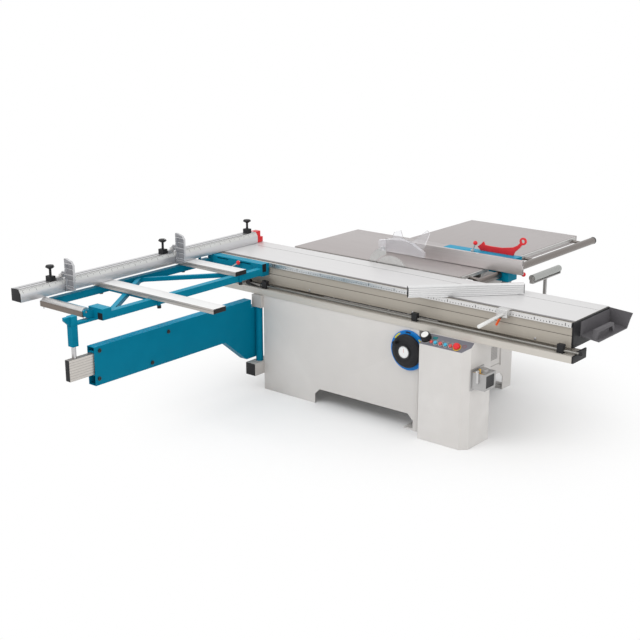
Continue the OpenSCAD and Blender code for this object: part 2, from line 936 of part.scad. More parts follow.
// Two beams across the cabinet with the guide blocks that hold the trunnion's ribs
module trunnion_brackets() {
    left_x1 = cradle_x0 - run_gap;
    right_x0 = wheel_x + gear_t / 2 + run_gap;
    right_beam_x0 = right_x0 + rib_l - rest_gap;
    color("dimgray")
    difference() {
        union() {
            for (x = [[left_x1 - cross_beam_s, left_x1],
                [right_beam_x0, cab_x1 - cabinet_wall - beam_setback]])
                box_between([x[0], cab_y0 + cabinet_wall, cross_beam_z1 - cross_beam_h],
                    [x[1], cab_y1 - cabinet_wall, cross_beam_z1]);
            box_between([left_x1 - cross_beam_s, guide_block_y0, cross_beam_z1],
                [left_x1, guide_block_y1, cross_beam_z1 + guide_block_h]);
            box_between([right_x0, guide_block_y0, cross_beam_z1],
                [cab_x1 - cabinet_wall, guide_block_y1, cross_beam_z1 + guide_block_h]);
            box_between([wheel_x - worm_block_h / 3, guide_block_y0, wheel_z - worm_block_h / 2],
                [right_beam_x0, guide_block_y0 + worm_block_w, wheel_z + worm_d / 2]);
        }
        along_x(left_x1 - rib_l - run_gap, left_x1 + overrun) rib_groove();
        along_x(right_x0 - overrun, right_x0 + rib_l + run_gap) rib_groove();
        rod_y(guide_block_y0 - overrun, guide_block_y0 + worm_block_w + overrun, wheel_x, wheel_z,
            wheel_shaft_d + 2 * shaft_gap);
    }
}

// The ring-shaped groove that a trunnion rib runs in
module rib_groove() {
    translate([saw_y, table_h]) difference() {
        circle(rib_r + run_gap, $fn = 96);
        circle(rib_r - rib_t - run_gap, $fn = 96);
    }
}

// Risers under the main table and struts under the extension table
module table_supports() {
    strut_top_y = cab_y1 + (ext_y1 - cab_y1) * strut_reach_share;
    strut_low_z = cabinet_h * strut_drop_share;
    color("silver") {
        box_tube([cab_x0 + riser_inset, riser_y0, cabinet_h],
            [cab_x0 + riser_inset + riser_w, riser_y1, tab_z0],
            ext_wall, 1);
        box_tube([tab_x1 - riser_inset - riser_w, well_y1 + rest_gap, cabinet_h],
            [tab_x1 - riser_inset, riser_y1, tab_z0], ext_wall, 1);
        for (s = strut_place_shares) {
            x = ext_x0 + (tab_x1 - ext_x0) * s - strut_s / 2;
            along_x(x, x + strut_s)
                polygon([[cab_y1, strut_low_z], [cab_y1, strut_low_z + strut_seat],
                    [strut_top_y - strut_seat, table_h - extension_t],
                        [strut_top_y, table_h - extension_t]]);
        }
    }
    roller_bracket();
}

module main_table() {
    color("darkgray") box_between([tab_x0, tab_y0, tab_z0], [tab_x1, tab_y1, table_h]);
}

// Folded sheet table with open underside
module extension_table() {
    color("darkgray")
    difference() {
        box_between([ext_x0, tab_y1, table_h - extension_t], [tab_x1, ext_y1, table_h]);
        difference() {
            box_between([ext_x0 + ext_wall, tab_y1 + ext_wall, table_h - extension_t - overrun],
                [tab_x1 - ext_wall, ext_y1 - ext_wall, table_h - ext_wall]);
            for (s = strut_place_shares)
                translate([ext_x0 + (tab_x1 - ext_x0) * s - strut_s / 2, tab_y1, table_h - extension_t])
                    cube([strut_s, ext_y1 - tab_y1, extension_t]);
        }
    }
}

// Round guide bar on studs, with its end cap and the scale rail on the tables' edge
module guide_bar() {
    color("silver") {
        rod_y(guide_y0, guide_y1, guide_x, guide_z, guide_d);
        for (s = stud_shares)
            rod_x(tab_x1, guide_x, guide_y0 + (min(guide_y1, ext_y1) - guide_y0) * s, guide_z, stud_d);
    }
    color("silver")
    difference() {
        box_between([tab_x1, guide_y0, table_h - scale_drop - scale_rail_h],
            [tab_x1 + scale_rail_t, ext_y1 - guide_d, table_h - scale_drop]);
        for (s = stud_shares)
            rod_x(tab_x1 - overrun, guide_x, guide_y0 + (min(guide_y1, ext_y1) - guide_y0) * s, guide_z,
                stud_d);
    }
    color("black") rod_y(guide_y1, guide_y1 + cap_t, guide_x, guide_z, guide_d + cap_rim);
}

// Beam, lock rod and saddle

module beam() {
    mid = (beam_y0 + beam_y1) / 2;
    color("tan")
    along_x(beam_x0, beam_x1)
    difference() {
        flat_between([beam_y0, cabinet_h], [beam_y1, beam_top]);
        flat_between([beam_y0 + beam_wall, cabinet_h + beam_wall],
            [mid - beam_wall / 2, beam_top - beam_wall]);
        flat_between([mid + beam_wall / 2, cabinet_h + beam_wall],
            [beam_y1 - beam_wall, beam_top - beam_wall]);
    }
}

// End caps of the beam and the bearing blocks of the lock rod
module beam_fittings() {
    color("black") {
        for (x = [beam_x0 - beam_cap_t, beam_x1])
            box_between([x, beam_y0, cabinet_h], [x + beam_cap_t, beam_y1, beam_top]);
        box_between([beam_x1, rod_y_pos + block_w / 2 + rest_gap, cabinet_h],
            [beam_x1 + beam_cap_t, beam_y1, beam_top + beam_cap_rise]);
        difference() {
            for (s = block_shares)
                translate([rod_x0 + (rod_x1 - rod_x0) * s - block_l / 2, rod_y_pos - block_w / 2, beam_top])
                    cube([block_l, block_w, block_h]);
            rod_x(rod_x0, rod_x1, rod_y_pos, rod_z_pos, lock_rod_d + 2 * shaft_gap);
        }
    }
}

module lock_rod() {
    color("silver") rod_x(rod_x0 + grip_l, rod_x1, rod_y_pos, rod_z_pos, lock_rod_d);
    color("black") {
        difference() {
            box_between([rod_x0, rod_y_pos - grip_d / 2, rod_z_pos - lock_rod_d / 2],
                [rod_x0 + grip_l, rod_y_pos + grip_d / 2, rod_z_pos + grip_d]);
            box_between([rod_x0 + grip_l / 4, rod_y_pos - grip_d, rod_z_pos + lock_rod_d / 2],
                [rod_x0 + grip_l + overrun, rod_y_pos + grip_d, rod_z_pos + grip_d + overrun]);
        }
        translate([rod_x1, rod_y_pos, rod_z_pos]) sphere(d = ball_end_d);
    }
}

// Thin saddle whose rollers carry the carriage along the beam
module roller_saddle() {
    roller_z_mid = beam_top + run_gap + saddle_roller_d / 2;
    pitch = saddle_l / saddle_rows;
    color("slategray")
    difference() {
        box_between([saddle_x - saddle_l / 2, saddle_y - saddle_w / 2, roller_z_mid - saddle_t / 2],
            [saddle_x + saddle_l / 2, saddle_y + saddle_w / 2, roller_z_mid + saddle_t / 2]);
        for (i = [0:saddle_rows - 1], y = [-1, 1])
            translate([saddle_x - saddle_l / 2 + pitch * (i + 1 / 2) - saddle_roller_d,
                saddle_y + y * saddle_w / 4 - saddle_roller_l / 2 - rest_gap,
                    roller_z_mid - saddle_roller_d])
                cube([2 * saddle_roller_d, saddle_roller_l + 2 * rest_gap, 2 * saddle_roller_d]);
    }
    color("white")
    for (i = [0:saddle_rows - 1], y = [-1, 1]) {
        x = saddle_x - saddle_l / 2 + pitch * (i + 1 / 2);
        mid = saddle_y + y * saddle_w / 4;
        rod_y(mid - saddle_roller_l / 2, mid + saddle_roller_l / 2, x, roller_z_mid, saddle_roller_d);
        rod_y(mid - saddle_roller_l / 2 - rest_gap, mid + saddle_roller_l / 2 + rest_gap, x,
            roller_z_mid, saddle_t / 2);
    }
}

// Sliding carriage and what is fixed on it

// Section of the carriage: a hollow box with a bevelled lower corner and a thin lip on the blade side
module carriage_section() {
    bevel_y = car_lip_y - car_bevel;
    groove_z = car_z0 + (table_h - car_z0) * side_groove_z_share;
    lip_z = table_h - lip_t;
    difference() {
        polygon([[car_y0, car_z0], [bevel_y, car_z0], [car_lip_y, car_z0 + car_bevel], [car_lip_y, lip_z],
            [car_y1 - lip_t, lip_z], [car_y1, table_h], [car_y0, table_h]]);
        polygon([[car_y0 + carriage_wall + slot_inset + slot_w, car_z0 + carriage_wall],
            [bevel_y - carriage_wall / 2, car_z0 + carriage_wall],
            [car_lip_y - carriage_wall, car_z0 + car_bevel + carriage_wall / 2],
            [car_lip_y - carriage_wall, lip_z], [car_y0 + carriage_wall + slot_inset + slot_w, lip_z]]);
        flat_between([car_y0 + slot_inset, table_h - slot_depth],
            [car_y0 + slot_inset + slot_w, table_h + overrun]);
        flat_between([car_y0 - overrun, groove_z], [car_y0 + side_groove, groove_z + side_groove]);
    }
}

module carriage() {
    color("lightgray") along_x(car_x0, car_x1) carriage_section();
}

// Rounded rail along the carriage's near edge, with its scale
module edge_rail() {
    color("silver") along_x(car_x0, car_x1) intersection() {
        flat_between([rail_y0, rail_z0], [car_y0, rail_z1]);
        translate([car_y0, (rail_z0 + rail_z1) / 2]) circle(r = norm([rail_proud, rail_h]) / 2 + rail_drop);
    }
}

// End plates of the carriage, and the tray with its handle at the operator's end
module carriage_ends() {
    floor_z = table_h - tray_floor_drop;
    tray_x0 = car_x1 + end_t;
    tray_x1 = tray_x0 + tray_l;
    handle_mid = tray_x0 + tray_l * tray_handle_x_share;
    handle_y = tray_near_y + tray_handle_inset + tray_handle_l / 2;
    color("black") {
        for (x = [car_x0 - end_t, car_x1])
            along_x(x, x + end_t)
                polygon([[car_y0, car_z0], [car_lip_y - car_bevel, car_z0], [car_lip_y, car_z0 + car_bevel],
                    [car_lip_y, table_h - lip_t], [car_y1 - lip_t, table_h - lip_t],
                        [car_y1 - rail_drop, table_h - rail_drop],
                    [car_y0, table_h - rail_drop]]);
        along_y(tray_near_y, tray_wall_y)
            polygon([[tray_x0, floor_z + tray_floor_slope], [tray_x1 - tray_wall_cut, floor_z],
                [tray_x1 - tray_wall_cut, floor_z + tray_t],
                    [tray_x0 + tray_back_t, floor_z + tray_floor_slope + tray_t],
                [tray_x0 + tray_back_t, table_h - tray_wall_lip], [tray_x0, table_h - tray_wall_lip]]);
        along_y(tray_wall_y - tray_t, tray_wall_y)
            polygon([[tray_x0, table_h - rail_drop], [tray_x1, table_h - tray_wall_lip],
                [tray_x1 - tray_wall_cut / 2, (table_h + floor_z) / 2], [tray_x1 - tray_wall_cut, floor_z],
                [tray_x0, floor_z + tray_floor_slope]]);
        along_x(handle_mid - tray_handle_t / 2, handle_mid + tray_handle_t / 2)
            difference() {
                polygon([[handle_y - tray_handle_l / 2, floor_z + tray_t],
                    [handle_y + tray_handle_l / 2, floor_z + tray_t],
                    [handle_y + tray_handle_l / 2 - tray_handle_bar, floor_z + tray_handle_h],
                    [handle_y - tray_handle_l / 2 + tray_handle_bar, floor_z + tray_handle_h]]);
                polygon([[handle_y - tray_handle_l / 2 + tray_handle_bar, floor_z - overrun],
                    [handle_y + tray_handle_l / 2 - tray_handle_bar, floor_z - overrun],
                    [handle_y + tray_handle_l / 2 - 2 * tray_handle_bar,
                        floor_z + tray_handle_h - tray_handle_bar],
                    [handle_y - tray_handle_l / 2 + 2 * tray_handle_bar,
                        floor_z + tray_handle_h - tray_handle_bar]]);
            }
    }
}

// Push handle: a block on the edge rail with a foot over the slot and a round bar
module push_handle() {
    block_z1 = table_h + handle_foot_h;
    block_y1 = rail_y0 - run_gap;
    rod_z_mid = block_z1 - handle_h / 2;
    color("silver") {
        box_between([handle_x - handle_l / 2, block_y1 - handle_w, block_z1 - handle_h],
            [handle_x + handle_l / 2, block_y1, block_z1]);
        box_between([handle_x - handle_l / 2, block_y1, table_h + run_gap],
            [handle_x + handle_l / 2, car_y0 + slot_inset + slot_w, block_z1]);
        translate([handle_x + handle_seat, block_y1 - handle_w + handle_seat, rod_z_mid])
            rotate([90 + handle_rod_tilt, 0, -handle_rod_yaw]) cylinder(h = handle_rod_l, d = handle_rod_d);
    }
}

// Clamp lever under the push handle's block
module push_lever() {
    lever_z1 = table_h + handle_foot_h - handle_h - run_gap;
    lever_y = rail_y0 - run_gap - handle_w / 2;
    color("orangered")
    translate([handle_x - handle_l / 4, lever_y, lever_z1 - push_lever_hub_h]) {
        cylinder(h = push_lever_hub_h, d = push_lever_hub_d);
        rotate([0, push_lever_lean, 0]) translate([0, 0, -push_lever_l])
            cylinder(h = push_lever_l + push_lever_hub_h / 2,
            d = push_lever_d);
    }
}

// Mitre fence, turned about its pin in the carriage's slot
module mitre_fence() {
    z0 = table_h + rest_gap;
    pin_y = car_y0 + slot_inset + slot_w / 2;
    near = -mitre_l * mitre_near_share;
    rib_pitch = mitre_h / (mitre_ribs + 1);
    translate([mitre_x, pin_y, z0]) {
        color("white") rotate(mitre_angle) {
            difference() {
                box_tube([near, -mitre_t / 2, 0], [near + mitre_l, mitre_t / 2, mitre_h], mitre_wall, 0);
                for (i = [1:mitre_ribs])
                    translate([near - overrun, -mitre_t / 2 - overrun, i * rib_pitch - mitre_rib_depth / 2])
                        cube([mitre_l + 2 * overrun, mitre_rib_depth + overrun, mitre_rib_depth]);
            }
        }
        color("black") rotate(mitre_angle)
            for (x = [near - mitre_cap_t, near + mitre_l])
                translate([x, -mitre_t / 2, 0]) cube([mitre_cap_t, mitre_t, mitre_h]);
        color("silver") {
            translate([0, 0, -rest_gap + run_gap]) cylinder(h = rest_gap - run_gap, d = 2 * mitre_t);
        }
    }
}

// Crosscut table

// A brace between two plan points at the level of the frame tubes
module brace(p, q, s) {
    run = q - p;
    translate([p[0], p[1], (tube_z0 + tube_z1) / 2]) rotate(atan2(run[1], run[0]))
        translate([0, -s / 2, -s / 2]) cube([norm(run), s, s]);
}

// Welded frame: two long tubes, an inner bracket on the edge rail, cross bars, braces and roller ears
module crosscut_frame() {
    far_in = far_tube_x + tube_s / 2 - tube_wall;
    near_in = near_tube_x - tube_s / 2 + tube_wall;
    apex = [far_in, tube_y0 + tube_l * (1 - brace_apex_share) + tube_l * brace_out_share];
    color("darkcyan") {
        difference() {
            union() {
                for (x = [far_tube_x, near_tube_x])
                    box_between([x - tube_s / 2, tube_y0, tube_z0], [x + tube_s / 2, tube_y1, tube_z1]);
                box_between([inner_x0, inner_y0, inner_z0], [inner_x1, inner_y1, inner_z1]);
                box_between([far_in, tube_y0, tube_z0], [near_in, tube_y0 + cross_s, tube_z0 + cross_s]);
                box_between([far_in, tube_y0 + tube_l * cross_share, tube_z0],
                    [near_in, tube_y0 + tube_l * cross_share + cross_s, tube_z0 + cross_s]);
                brace(apex, [near_in, tube_y0 + 2 * cross_s], brace_s);
                brace(apex, [near_in, tube_y1 - tube_l * brace_in_share - brace_s], brace_in_s);
                roller_ears();
                outer_pad();
                box_between([near_tube_x + tube_s / 2 - end_block_w, tube_y0 - end_block_out, tube_z0],
                    [near_tube_x + tube_s / 2, tube_y0 + end_block_in, tube_z1 + end_block_rise]);
                box_between([far_tube_x - tube_s / 2, tube_y0 - bar_cap_t, tube_z0],
                    [far_tube_x + tube_s / 2, tube_y0, tube_z1]);
            }
            for (x = [far_tube_x, near_tube_x])
                box_between([x - tube_s / 2 + tube_wall, tube_y0 + end_block_in, tube_z0 + tube_wall],
                    [x + tube_s / 2 - tube_wall, tube_y1 - tube_wall, tube_z1 - tube_wall]);
            box_between([inner_x0 + tube_wall, inner_y0 + tube_wall, inner_z0 - overrun],
                [inner_x1 - tube_wall, inner_y1 - tube_wall, inner_z1 - inner_top_t]);
            for (s = inner_slot_shares)
                translate([inner_x0 + (inner_x1 - inner_x0) * s - inner_slot_l / 2, inner_y0 - overrun,
                    inner_z1 - inner_slot_drop - inner_slot_h])
                    cube([inner_slot_l, tube_wall + 2 * overrun, inner_slot_h]);
            rod_x(far_tube_x - tube_s, near_tube_x + tube_s, roller_y, roller_z,
                roller_pin_d + 2 * shaft_gap);
        }
        rod_z(tube_z0, fence_z0 + 2 * fence_wall, far_tube_x, fence_pin_y, fence_pin_d);
    }
}

// Pad that stands on the post, with its gusset
module outer_pad() {
    y0 = post_y - post_s / 2;
    pad_z0 = post_top_z + overrun;
    pad_z1 = pad_z0 + pad_rise;
    box_between([slide_x_mid - post_s / 2, y0, pad_z0],
        [slide_x_mid + post_s / 2, tube_y0 + cross_s, tube_z0 + rest_gap]);
    box_between([slide_x_mid - post_s / 2, y0, pad_z0], [slide_x_mid + post_s / 2, y0 + post_s, pad_z1]);
    along_x(slide_x_mid - post_s / 4, slide_x_mid + post_s / 4)
        polygon([[post_y, pad_z1], [y0 - post_gusset, pad_z1], [y0 - post_gusset, pad_z1 - post_gusset / 2],
            [y0, pad_z1 - post_gusset_h], [post_y, pad_z1 - post_gusset_h]]);
}

// Two ears that stand out from the outer cross bar and hold the end roller's axle
module roller_ears() {
    for (x = [far_tube_x + far_ear_inset, near_tube_x - tube_s / 2 - near_ear_out])
        along_x(x, x + ear_t)
            polygon([[tube_y0 + cross_s, tube_z0], [tube_y0 + cross_s, tube_z0 + cross_s],
                [roller_y, roller_z + roller_pin_d], [roller_y - ear_drop, roller_z + roller_pin_d / 2],
                [roller_y - ear_drop, roller_z - ear_drop], [roller_y + ear_drop, tube_z0]]);
}

module end_roller() {
    x0 = far_tube_x + far_ear_inset + ear_t + roller_end_gap;
    x1 = near_tube_x - tube_s / 2 - near_ear_out - roller_end_gap;
    color("whitesmoke") {
        rod_x(x0, x1, roller_y, roller_z, end_roller_d);
        rod_x(x0 - ear_t - 2 * roller_end_gap, x1 + ear_t + 2 * roller_end_gap, roller_y, roller_z,
            roller_pin_d);
    }
}

// Clamp lever with a ball end on the inner bracket's outer face
module ball_lever() {
    x = inner_x0 + (inner_x1 - inner_x0) * lever_x_share;
    y1 = inner_y0 - run_gap;
    stem_y = y1 - frame_boss_l / 2;
    z = inner_z1 - lever_z_drop;
    color("silver") {
        rod_y(y1 - frame_boss_l, y1, x, z, lever_boss_d);
        translate([x, stem_y, z]) rotate([0, lever_lean, 0]) cylinder(h = lever_stem_l, d = lever_stem_d);
    }
    color("red")
        translate([x, stem_y, z] + lever_stem_l * [sin(lever_lean), 0, cos(lever_lean)])
            sphere(d = lever_ball_d);
}

// A hollow support bar across both tubes, with end caps and a clamp round the outside of each tube
module support_bar(y, l) {
    color("silver") {
        box_tube([bar_x0, y - bar_w / 2, bar_z0], [bar_x0 + l, y + bar_w / 2, bar_z1], bar_wall, 0);
        for (s = [[far_tube_x, -1], [near_tube_x, 1]]) {
            face = s[0] + s[1] * (tube_s / 2 + run_gap);
            back = face + s[1] * clamp_t;
            box_between([min(face, back), y - clamp_w / 2, tube_z0 - run_gap - clamp_foot_t],
                [max(face, back), y + clamp_w / 2, bar_z0]);
        }
    }
    color("black") {
        for (x = [bar_x0 - bar_cap_t, bar_x0 + l])
            box_between([x, y - bar_w / 2, bar_z0], [x + bar_cap_t, y + bar_w / 2, bar_z1]);
        for (x = [far_tube_x, near_tube_x]) {
            s = x == near_tube_x ? 1 : -1;
            face = x + s * (tube_s / 2 + run_gap + clamp_t);
            box_between([min(face, x), y - clamp_w / 4, tube_z0 - run_gap - clamp_foot_t],
                [max(face, x), y + clamp_w / 4, tube_z0 - run_gap]);
            rod_z(clamp_low_z, tube_z0 - run_gap - clamp_foot_t / 2, face - s * clamp_t / 2, y, clamp_knob_d);
        }
    }
}

module support_bar_1() {
    support_bar(bar_1_y, bar_1_l);
}

module support_bar_2() {
    support_bar(bar_2_y, bar_2_l);
}

// Crosscut fence: the bar with its pivot hole, an end cap and the inner clamp
module crosscut_fence() {
    color("silver") {
        difference() {
            along_y(fence_y0, fence_y1) fence_section();
            rod_z(fence_z0 - overrun, fence_z0 + 2 * fence_wall, far_tube_x, fence_pin_y,
                fence_pin_d + 2 * shaft_gap);
        }
    }
    color("black") {
        along_y(fence_y0 - fence_cap_t, fence_y0)
            polygon(fence_outline);
        clamp_block(clamp_3_y, fence_z1);
    }
}

// Section of the fence: a hollow bar with a sloped scale face and two grooves on top
module fence_section() {
    difference() {
        polygon(fence_outline);
        polygon([[fence_x0 + fence_wall, fence_z0 + fence_wall],
            [fence_x1 - fence_wall, fence_z0 + fence_wall],
            [fence_x1 - fence_wall, fence_z1 - fence_chamfer_h - fence_wall],
            [fence_x1 - fence_chamfer_w - fence_wall, fence_z1 - fence_wall - groove_depth],
            [fence_x0 + fence_wall, fence_z1 - fence_wall - groove_depth]]);
        for (s = groove_shares)
            translate([fence_x0 + fence_w * s - groove_w / 2, fence_z1 - groove_depth])
                square([groove_w, groove_depth + overrun]);
    }
}

// Clamp block on top of the fence, with its stem and mushroom knob
module clamp_block(y, z) {
    x = fence_x0 + fence_w / 2;
    box_between([x - stop_block_w / 2, y - stop_block_l / 2, z],
        [x + stop_block_w / 2, y + stop_block_l / 2, z + stop_block_h]);
    rod_z(z + stop_block_h, z + stop_block_h + stop_stem_h, x, y, stop_stem_d);
    translate([x, y, z + stop_block_h + stop_stem_h - stop_knob_h / 2])
        rotate_extrude() polygon([[0, 0], [stop_knob_d / 4, 0], [stop_knob_d / 2, stop_knob_h / 2],
            [stop_knob_d / 2 - stop_knob_h / 4, stop_knob_h], [0, stop_knob_h]]);
}

// Stepped block on the fence's inner end that backs the cut
module splinter_block() {
    x1 = fence_x1 - fence_wall;
    color("red")
    along_y(fence_y1, fence_y1 + splinter_l)
        polygon([[x1 - splinter_w, fence_z0], [x1, fence_z0], [x1, fence_z0 + fence_h * splinter_step_share],
            [x1 - splinter_w / 3, fence_z0 + fence_h * splinter_step_share], [x1 - splinter_w / 3, fence_z1],
            [x1 - splinter_w, fence_z1]]);
}

// Sliding stop: a clamp block with an arm, a lug and a hinge rod beside it
module stop_slide(y) {
    lug_y = y + stop_block_l / 2 + hinge_arm_l;
    color("black") clamp_block(y, fence_z1 + run_gap);
    color("silver") {
        rod_y(lug_y, lug_y + hinge_rod_l, hinge_rod_x, hinge_rod_z, hinge_rod_d);
        box_between([hinge_rod_x - hinge_rod_d, y + stop_block_l / 2, fence_z1 + run_gap],
            [hinge_rod_x + hinge_rod_d, lug_y + hinge_lug_t, fence_z1 + run_gap + hinge_arm_h]);
        box_between([hinge_rod_x - hinge_rod_d, lug_y, fence_z1 + run_gap],
            [hinge_rod_x + hinge_rod_d, lug_y + hinge_lug_t, hinge_rod_z + hinge_rod_d / 2]);
    }
}

module stop_1() {
    stop_slide(stop_1_y);
}

module stop_2() {
    stop_slide(stop_2_y);
}

// Ribbed stop flag in front of the fence, hung on the hinge rod
module stop_flag(y) {
    y0 = y + stop_block_l / 2 + hinge_arm_l + hinge_lug_t + rest_gap;
    x0 = fence_x1 + rest_gap;
    x1 = x0 + flag_w;
    z0 = fence_z0 + rest_gap;
    z1 = z0 + flag_h;
    outline = [[x0, z0], [x1, z0 + flag_round / 2], [x1, z1 - flag_round],
        [x1 - flag_round / 2, z1 - flag_round / 3],
        [x0 + flag_round / 2, z1], [x0, z1]];
    mid_z = (z0 + z1) / 2;
    color("silver")
    difference() {
        union() {
            along_y(y0, y0 + flag_t) polygon(outline);
            along_y(y0, y0 + flag_t)
                flat_between([hinge_rod_x, hinge_rod_z], [x0 + flag_wall, hinge_rod_z + flag_arm_h]);
            rod_y(y0, y0 + flag_t, hinge_rod_x, hinge_rod_z, hinge_eye_d);
        }
        rod_y(y0 - overrun, y0 + flag_t + overrun, hinge_rod_x, hinge_rod_z, hinge_rod_d + 2 * shaft_gap);
        for (z = [z0 + flag_round / 2 + flag_wall, mid_z + flag_wall])
            box_between([x0 + 2 * flag_wall, y0 - overrun, z],
                [x1 - flag_wall, y0 + flag_t - flag_wall, z + flag_h / 2 - flag_round - flag_wall]);
    }
}

module flag_1() {
    stop_flag(stop_1_y);
}

module flag_2() {
    stop_flag(stop_2_y);
}

// Swing arm

// Square bracket tubes on the cabinet's outfeed end, with the hinge pin between them
module arm_brackets() {
    color("lightgray") {
        for (b = [[upper_bracket_z0, upper_reach], [lower_bracket_z0, lower_reach]])
            box_tube([cab_x0 - bracket_s, hinge_y - b[1], b[0]],
                [cab_x0, hinge_y + bracket_l, b[0] + bracket_s], bracket_wall, 1);
        box_between([cab_x0 - bracket_s, hinge_y - upper_reach, upper_bracket_z0],
            [cab_x0, hinge_y - upper_reach + bracket_wall, upper_bracket_z0 + bracket_s]);
        rod_z(lower_bracket_z0 + bracket_s - bracket_wall, upper_bracket_z0 + bracket_wall, hinge_x, hinge_y,
            hinge_pin_d);
    }
    color("black")
        box_between([cab_x0 - bracket_s, hinge_y - lower_reach - cap_t, lower_bracket_z0],
            [cab_x0, hinge_y - lower_reach, lower_bracket_z0 + bracket_s]);
}

// Outline of the arm in Y and Z: a long plate that deepens towards the hinge column
module arm_outline(inset) {
    polygon([[arm_y0 - overrun + inset, arm_top_z - inset], [arm_y0 - overrun + inset, arm_bottom_z + inset],
        [arm_y1 - arm_root_l - arm_slope_l, arm_bottom_z + inset],
            [arm_y1 - arm_root_l, column_z0 + arm_root_rise + inset],
        [arm_y1 - inset, column_z0 + arm_root_rise + inset], [arm_y1 - inset, column_z1 - arm_wall - inset],
        [arm_y1 - arm_notch_l, column_z1 - arm_wall - inset], [arm_y1 - arm_notch_l, arm_top_z - inset]]);
}

module swing_arm() {
    tunnel_y1 = slide_y0_pos + slide_tube_l + overrun;
    color("darkcyan")
    difference() {
        union() {
            along_x(arm_x0, arm_x1) arm_outline(0);
            rod_z(column_z0, column_z1, hinge_x, hinge_y, column_d);
            box_between([arm_x1 - arm_wall, hinge_y - column_d / 4, column_z0 + arm_root_rise],
                [hinge_x, hinge_y + column_d / 4, column_z1 - arm_wall]);
        }
        difference() {
            along_x(arm_x0 + arm_wall, arm_x1 - arm_wall) arm_outline(arm_wall);
            for (z = [slide_z0_pos - run_gap - arm_web_t, slide_z1_pos + run_gap])
                box_between([arm_x0, arm_y0, z], [arm_x1, tunnel_y1, z + arm_web_t]);
        }
        box_between([slide_x_mid - slide_tube_w / 2 - run_gap, arm_y0 - 2 * overrun, slide_z0_pos - run_gap],
            [slide_x_mid + slide_tube_w / 2 + run_gap, arm_y0 + 2 * arm_wall, slide_z1_pos + run_gap]);
        box_between([arm_x0 + arm_wall, arm_y0 - 2 * overrun, arm_bottom_z + arm_wall],
            [arm_x1 - arm_wall, arm_y0 + arm_wall, arm_top_z - arm_wall]);
        rod_z(column_z0 - overrun, column_z1 + overrun, hinge_x, hinge_y, hinge_pin_d + 2 * shaft_gap);
    }
}

module telescopic_tube() {
    color("lightgray")
        box_tube([slide_x_mid - slide_tube_w / 2, slide_y0_pos, slide_z0_pos],
            [slide_x_mid + slide_tube_w / 2, slide_y0_pos + slide_tube_l, slide_z1_pos], slide_wall, 1);
    color("black")
        box_between([slide_x_mid - slide_tube_w / 2, slide_y0_pos - cap_t, slide_z0_pos],
            [slide_x_mid + slide_tube_w / 2, slide_y0_pos, slide_z1_pos]);
}

// Post that lifts the crosscut table's outer end: a threaded rod and a square sleeve
module post() {
    sleeve_z0 = slide_z1_pos + post_rod_l;
    color("silver") rod_z(slide_z1_pos, sleeve_z0 + overrun, slide_x_mid, post_y, post_rod_d);
    color("darkcyan")
        box_between([slide_x_mid - post_s / 2, post_y - post_s / 2, sleeve_z0],
            [slide_x_mid + post_s / 2, post_y + post_s / 2, post_top_z]);
}

// Saw unit

// Tilting cradle: two end plates with guide ribs, a gear segment, a low beam, the lift columns
// and the scoring post
module trunnion() {
    right = cradle_x1 + end_plate_t;
    gear_x1 = wheel_x + gear_t / 2;
    color("steelblue") {
        for (x = [cradle_x0, cradle_x1])
            along_x(x, x + end_plate_t) end_plate_outline();
        along_x(cradle_x0 - rib_l, cradle_x0)
            translate([saw_y, table_h]) true_sector(rib_r - rib_t, rib_r, rib_a0, rib_a1);
        along_x(right, gear_x1) translate([saw_y, table_h]) true_sector(rib_r - rib_t, gear_r, gear_a0,
            gear_a1);
        along_x(right, gear_x1 + rib_l)
            translate([saw_y, table_h]) true_sector(rib_r - rib_t, rib_r, rib_a0, rib_a1);
        box_between([cradle_x0, column_y - beam_low_w / 2, beam_low_z0],
            [right, column_y + beam_low_w / 2, beam_low_z1]);
        for (s = [-1, 1])
            rod_z(beam_low_z0, slide_z1, blade_x + s * column_dx, column_y, lift_column_d);
        box_between([blade_x + screw_dx - lift_motor_s / 2, column_y - lift_motor_s / 2,
            beam_low_z0 - lift_motor_h],
            [blade_x + screw_dx + lift_motor_s / 2, column_y + lift_motor_s / 2, beam_low_z0]);
        scoring_carrier();
    }
}

module end_plate_outline() {
    translate([saw_y, table_h]) true_sector(rib_r - rib_t - end_plate_t, rib_r + end_plate_t, rib_a0,
        rib_a1);
    polygon([[saw_y + rib_r * cos(rib_a0), table_h + rib_r * sin(rib_a0)],
        [saw_y + rib_r * cos(web_a), table_h + rib_r * sin(web_a)],
        [column_y + beam_low_w / 2, beam_low_z0], [column_y - beam_low_w / 2, beam_low_z0]]);
}

// Post, spindle housing and motor of the scoring blade
module scoring_carrier() {
    house_y0 = slide_y0 - nose_l;
    difference() {
        union() {
            box_between([scoring_x - scoring_post_s / 2, column_y - scoring_post_s / 2, beam_low_z0],
                [scoring_x + scoring_post_s / 2, column_y + scoring_post_s / 2, scoring_z]);
            rod_y(house_y0, house_y0 + scoring_house_l, scoring_x, scoring_z, scoring_house_d);
            rod_y(column_y, column_y + scoring_post_s + scoring_motor_l, scoring_x,
                scoring_z - scoring_motor_drop,
                scoring_motor_d);
        }
        rod_y(house_y0 - overrun, house_y0 + scoring_house_l + overrun, scoring_x, scoring_z,
            scoring_shaft_d + 2 * shaft_gap);
    }
}

